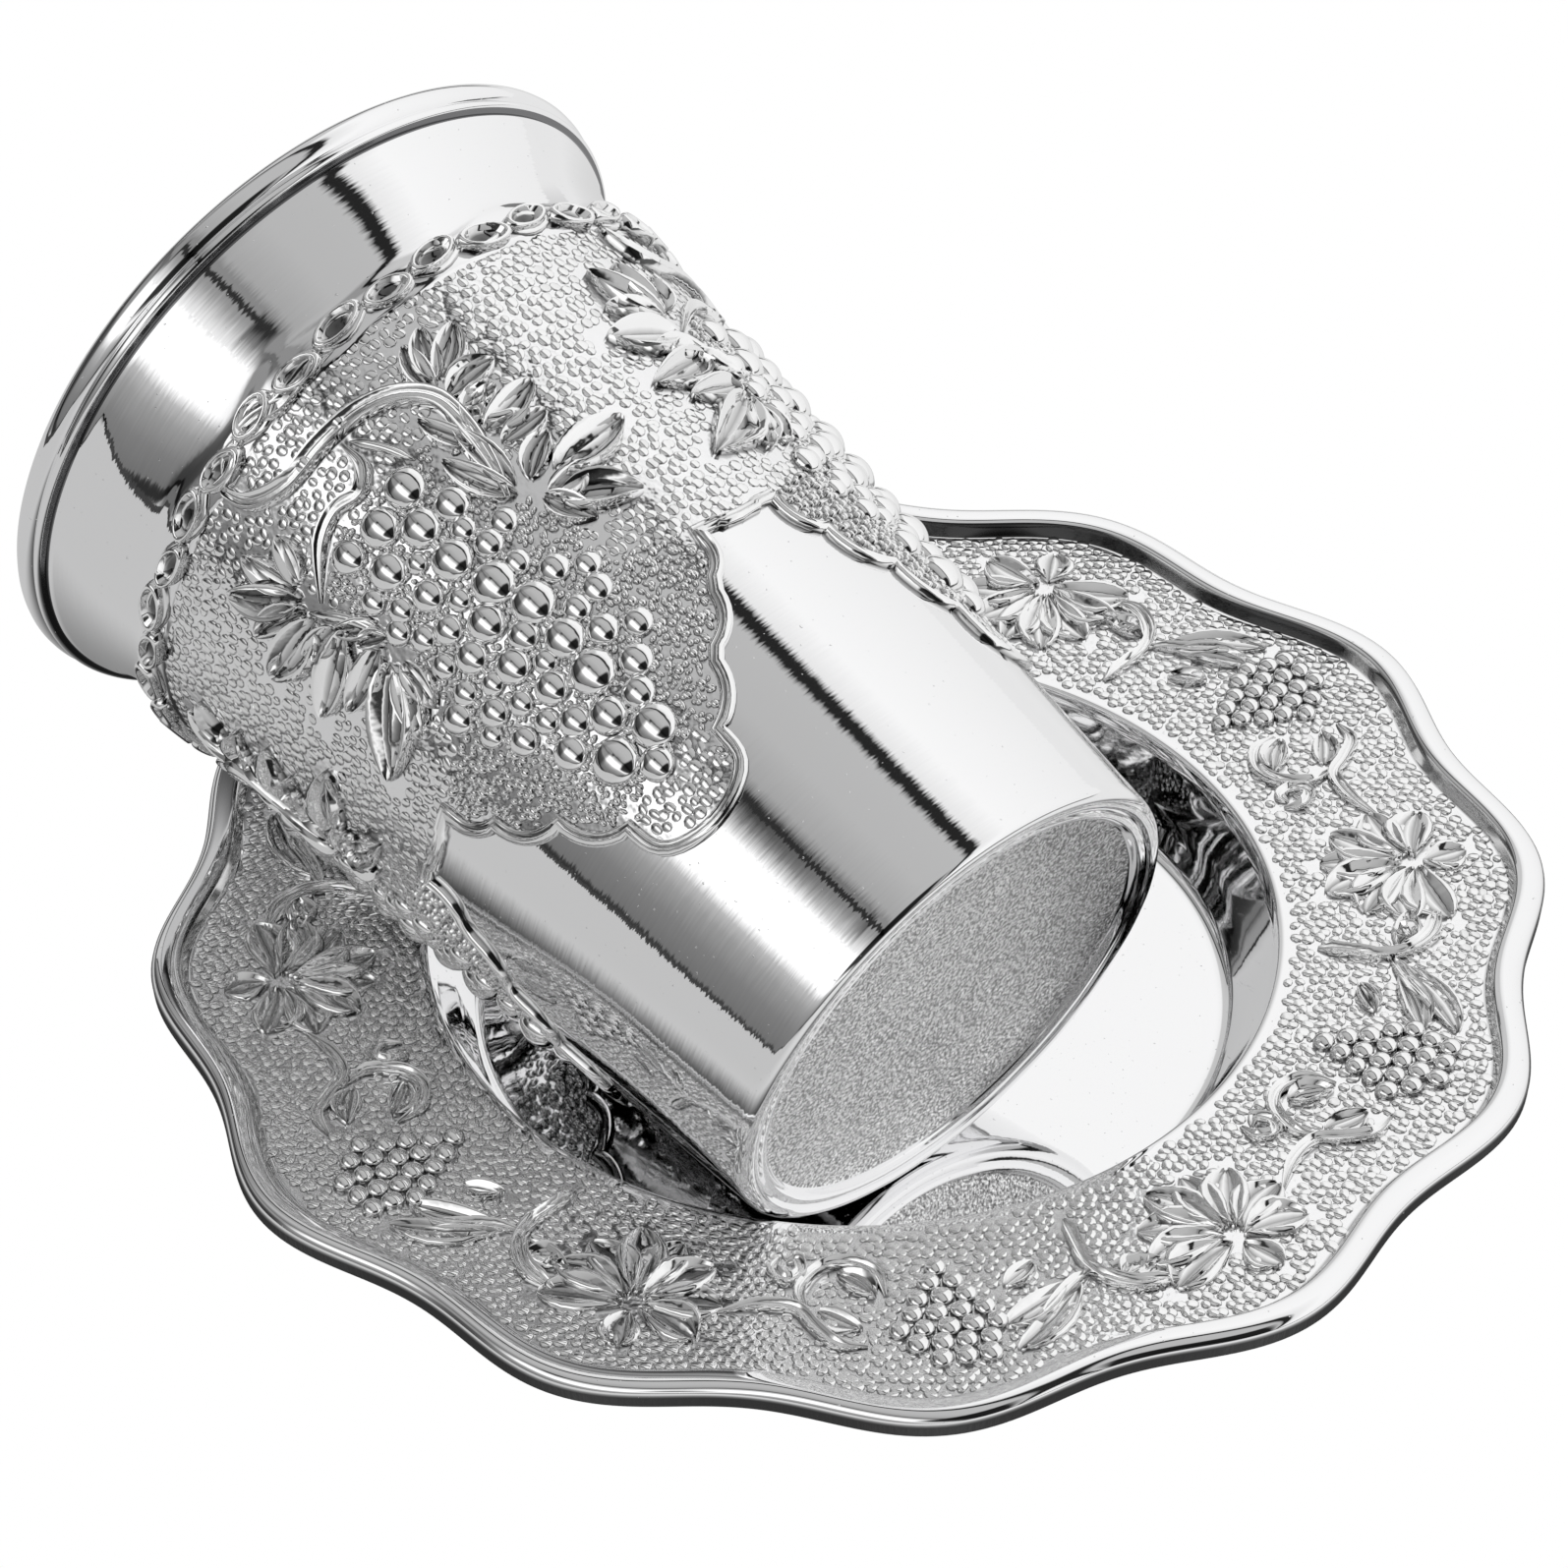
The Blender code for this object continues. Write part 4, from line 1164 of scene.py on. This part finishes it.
def clusterPlaces():
    s = saucerVine
    for leafAt, clusterAt in motifAngles():
        for r, count, shift in s["rows"]:
            for i in range(count):
                across = s["grapePitch"] * (i - 0.5 * (count - 1)) + shift
                yield bandPoint(clusterAt + math.degrees(across / r), r)


def bandSpot(x, y, lift, girth):
    return (onBand(x, y, lift), Vector((0, 0, 1)), Vector((1, 0, 0)), girth * mm)


clusterSpots = [bandSpot(x, y, 0.1, saucerVine["grape"]) for x, y in clusterPlaces()]
saucerGrapes = scatter("saucerGrapes", grapeBall, clusterSpots, "cast",
                       height=0.9, variation=0.07, spin=0.5, seed=8)

bandPebbles = {
    "reach": 62, "pitch": 1.08, "jitter": 0.22, "seed": 77, "girth": 0.57, "from": 39.7, "inset": 3.7,
}


def buildSaucerPebbles():
    s = bandPebbles
    pts = looseGrid(-s["reach"], s["reach"], -s["reach"], s["reach"], s["pitch"], s["jitter"], s["seed"])
    x, y = pts[:, 0], pts[:, 1]
    r = np.hypot(x, y)
    keep = (r > s["from"]) & (r < edgeRadius(np.arctan2(y, x), np.cos) - s["inset"])
    for angles in motifAngles():
        for kind, i, root, tip, width, bend in motifLeaves(*angles):
            keep &= nearPath(x, y, (root, tip)) > width * 0.46
        for stem in motifStems(*angles):
            keep &= nearPath(x, y, stem) > 0.62
    for gx, gy in clusterPlaces():
        keep &= np.hypot(x - gx, y - gy) > 0.95
    places = [bandSpot(a, b, 0.0, s["girth"]) for a, b in zip(x[keep], y[keep])]
    print("saucer pebbles:", len(places))
    return scatter("saucerPebbles", pebbleDome, places, "pebble",
                   height=0.28, variation=0.28, spin=3.14, seed=21)


saucerPebbles = buildSaucerPebbles()


def liftOnBand(spots):
    return spots[:, 2] - bandHeight(np.hypot(spots[:, 0], spots[:, 1]))


# painted shade at the foot of the saucer's raised shapes: reach and depth
for piece, reach, depth in ((saucerVines, 0.24, 1.0), (saucerGrapes, 0.50, 1.0), (saucerPebbles, 0.13, 0.75)):
    markFeet(piece, liftOnBand, reach, 0.0, depth)
print("saucer done")


# studio

studio = {
    "lens": 132.741, "camera": (-0.00607, -0.39070, 0.35831), "elevation": 40.374, "roll": -0.70,
    "floorSeen": 1.0, "floorMirrored": (0.57, 0.84), "floorNear": 0.05,
    # brightness by the angle round the cup's own length, in degrees
    "sky": ((-180, 0.85), (-60, 0.75), (-14, 0.62), (-12.5, 0.03), (-7.2, 0.03), (-6, 0.17), (5, 0.22),
            (15, 0.34), (21, 0.52), (26, 1.2), (44, 1.2), (48, 0.62), (52, 0.24), (55, 0.12), (57, 0.03),
            (60.5, 0.03), (62.5, 0.25), (66, 0.40), (82, 0.50), (103.5, 0.52), (105, 0.02), (110, 0.02),
            (112, 0.85), (125, 1.0), (180, 0.9)),
    "skyTop": 1.2,
    "dark": {"from": -0.50, "to": -0.62, "level": 0.03, "centre": 64.0, "half": 34.0, "soft": 6},
    "window": {"from": 24.0, "to": 40.0, "level": 0.24},
    "back": {"low": 0.60, "left": -0.16, "right": 0.02},
}


def buildCamera():
    data = bpy.data.cameras.new("studioCamera")
    data.lens = studio["lens"]
    data.sensor_width = 36.0
    data.clip_start = 0.01
    data.clip_end = 20.0
    camera = bpy.data.objects.new("studioCamera", data)
    bpy.context.collection.objects.link(camera)
    camera.matrix_world = (Matrix.Translation(studio["camera"])
                           @ Matrix.Rotation(math.radians(90.0 - studio["elevation"]), 4, "X")
                           @ Matrix.Rotation(math.radians(studio["roll"]), 4, "Z"))
    bpy.context.scene.camera = camera


def softRange(tree, value, low, high, toLow, toHigh):
    return rangeNode(tree, value, low, high, toLow, toHigh, "SMOOTHSTEP")


def product(tree, *values):
    out = values[0]
    for value in values[1:]:
        out = mathNode(tree, "MULTIPLY", out, value)
    return out


def buildFloor():
    corners = [(-0.56, -0.9), (1.3, -0.9), (1.3, 1.3), (-0.56, 1.3)]
    mesh = bpy.data.meshes.new("paleFloor")
    mesh.from_pydata([(x, y, 0) for x, y in corners], [], [(0, 1, 2, 3)])
    material = bpy.data.materials.new("paleFloor")
    material.use_nodes = True
    tree = material.node_tree
    tree.nodes.clear()
    where = addNode(tree, "ShaderNodeTexCoord").outputs["Object"]
    distance = addNode(tree, "ShaderNodeVectorMath", {0: where}, operation="LENGTH").outputs["Value"]
    axes = addNode(tree, "ShaderNodeSeparateXYZ", {0: where}).outputs
    # the floor glows; mirrored in the silver its glow is brighter to the right and holds a painted shadow
    # close to the saucer; seen directly it is plain and pale
    lit = softRange(tree, axes["X"], -0.12, 0.12, *studio["floorMirrored"])
    saucerShadow = softRange(tree, distance, 0.066, 0.105, studio["floorNear"], 1.0)
    # a dark seam runs along its left edge, and its front right corner lies in shade
    seam = softRange(tree, axes["X"], -0.403, -0.397, 0.10, 1.0)
    ahead = mathNode(tree, "MULTIPLY_ADD", axes["Y"], -0.76, mathNode(tree, "MULTIPLY", axes["X"], 0.65))
    mirrored = product(tree, lit, saucerShadow, seam, softRange(tree, ahead, 0.16, 0.32, 1.0, 0.12))
    seen = addNode(tree, "ShaderNodeLightPath").outputs["Is Camera Ray"]
    level = mathNode(tree, "MAXIMUM", mirrored, mathNode(tree, "MULTIPLY", seen, studio["floorSeen"]))
    glow = addNode(tree, "ShaderNodeEmission", {"Strength": level})
    addNode(tree, "ShaderNodeOutputMaterial", {"Surface": glow.outputs[0]})
    floor = bpy.data.objects.new("paleFloor", mesh)
    mesh.materials.append(material)
    bpy.context.collection.objects.link(floor)
    floor.location.z = -0.0003


def buildSky():
    world = bpy.data.worlds.new("studioSky")
    bpy.context.scene.world = world
    world.use_nodes = True
    tree = world.node_tree
    source = addNode(tree, "ShaderNodeTexCoord").outputs["Generated"]
    heading = math.radians(cupPose["heading"])
    side = Vector((-math.sin(heading), math.cos(heading), 0))

    def along(vector):
        node = addNode(tree, "ShaderNodeVectorMath", {0: source, 1: vector}, operation="DOT_PRODUCT")
        return node.outputs["Value"]

    turn = mathNode(tree, "ARCTAN2", along(cupAxis.cross(side)), along(side))
    length = along(cupAxis)

    def acrossTurn(low, high, toLow, toHigh):
        # a change between two angles round the cup's own length
        return softRange(tree, turn, math.radians(low), math.radians(high), toLow, toHigh)

    def brighter(a, b):
        return mathNode(tree, "MAXIMUM", a, b)

    ramp = addNode(tree, "ShaderNodeValToRGB", {"Fac": rangeNode(tree, turn, -math.pi, math.pi, 0.0, 1.0)})
    stops = ramp.color_ramp.elements
    stops.remove(stops[-1])
    for i, (angle, value) in enumerate(studio["sky"]):
        stop = stops.new((angle + 180) / 360) if i else stops[0]
        stop.position = (angle + 180) / 360
        level = min(1.0, value / studio["skyTop"])
        stop.color = (level, level, level, 1)
    level = mathNode(tree, "MULTIPLY", ramp.outputs["Color"], studio["skyTop"])
    # the dark seam beside the card over the camera ends some way up too
    seam = product(tree, softRange(tree, length, 0.38, 0.46, 0.0, 1.0), acrossTurn(52, 54, 0.0, 1.0),
                   acrossTurn(63, 66, 1.0, 0.0), 0.28)
    # below that it is a thin line with a grey fade beside it
    below = softRange(tree, length, 0.20, 0.27, 1.0, 0.0)
    fade = product(tree, acrossTurn(44, 57, 0.95, 0.30), acrossTurn(57, 58, 1.0, 0.0))
    rest = product(tree, acrossTurn(59.5, 60.5, 0.0, 0.26), acrossTurn(64, 67, 1.0, 0.0))
    beside = product(tree, acrossTurn(42, 44, 0.0, 1.0), below, mathNode(tree, "ADD", fade, rest))
    level = brighter(brighter(level, seam), beside)
    # unlit room round the camera
    dark = studio["dark"]
    low = softRange(tree, length, dark["to"], dark["from"], 1.0, 0.0)
    apart = mathNode(tree, "ABSOLUTE", mathNode(tree, "SUBTRACT", turn, math.radians(dark["centre"])))
    ends = [math.radians(dark["half"] + way * dark["soft"]) for way in (-1, 1)]
    unlit = product(tree, low, softRange(tree, apart, *ends, 1.0, 0.0))
    level = product(tree, level, rangeNode(tree, unlit, 0.0, 1.0, 1.0, dark["level"]))
    # the light behind the saucer falls off to the left
    back = studio["back"]
    fall = softRange(tree, along(Vector((1, 0, 0))), back["left"], back["right"], back["low"], 1.0)
    behind = softRange(tree, along(Vector((0, 1, 0))), 0.35, 0.55, 0.0, 1.0)
    less = product(tree, mathNode(tree, "SUBTRACT", fall, 1.0), behind)
    level = product(tree, level, mathNode(tree, "ADD", less, 1.0))
    # the window ends some way up the cup's own length
    window = studio["window"]
    ends = [math.sin(math.radians(window[key])) for key in ("from", "to")]
    faded = product(tree, softRange(tree, length, *ends, 0.0, 1.0), acrossTurn(48, 56, 1.0, 0.0))
    level = product(tree, level, rangeNode(tree, faded, 0.0, 1.0, 1.0, window["level"]))
    # seen directly, past the floor, the room is as pale as the floor
    level = brighter(level, addNode(tree, "ShaderNodeLightPath").outputs["Is Camera Ray"])
    tree.links.new(level, tree.nodes["Background"].inputs["Strength"])
    tree.nodes["Background"].inputs["Color"].default_value = (1, 1, 1, 1)


buildCamera()
buildFloor()
buildSky()
bpy.context.scene.view_settings.view_transform = "Standard"
print("studio done")
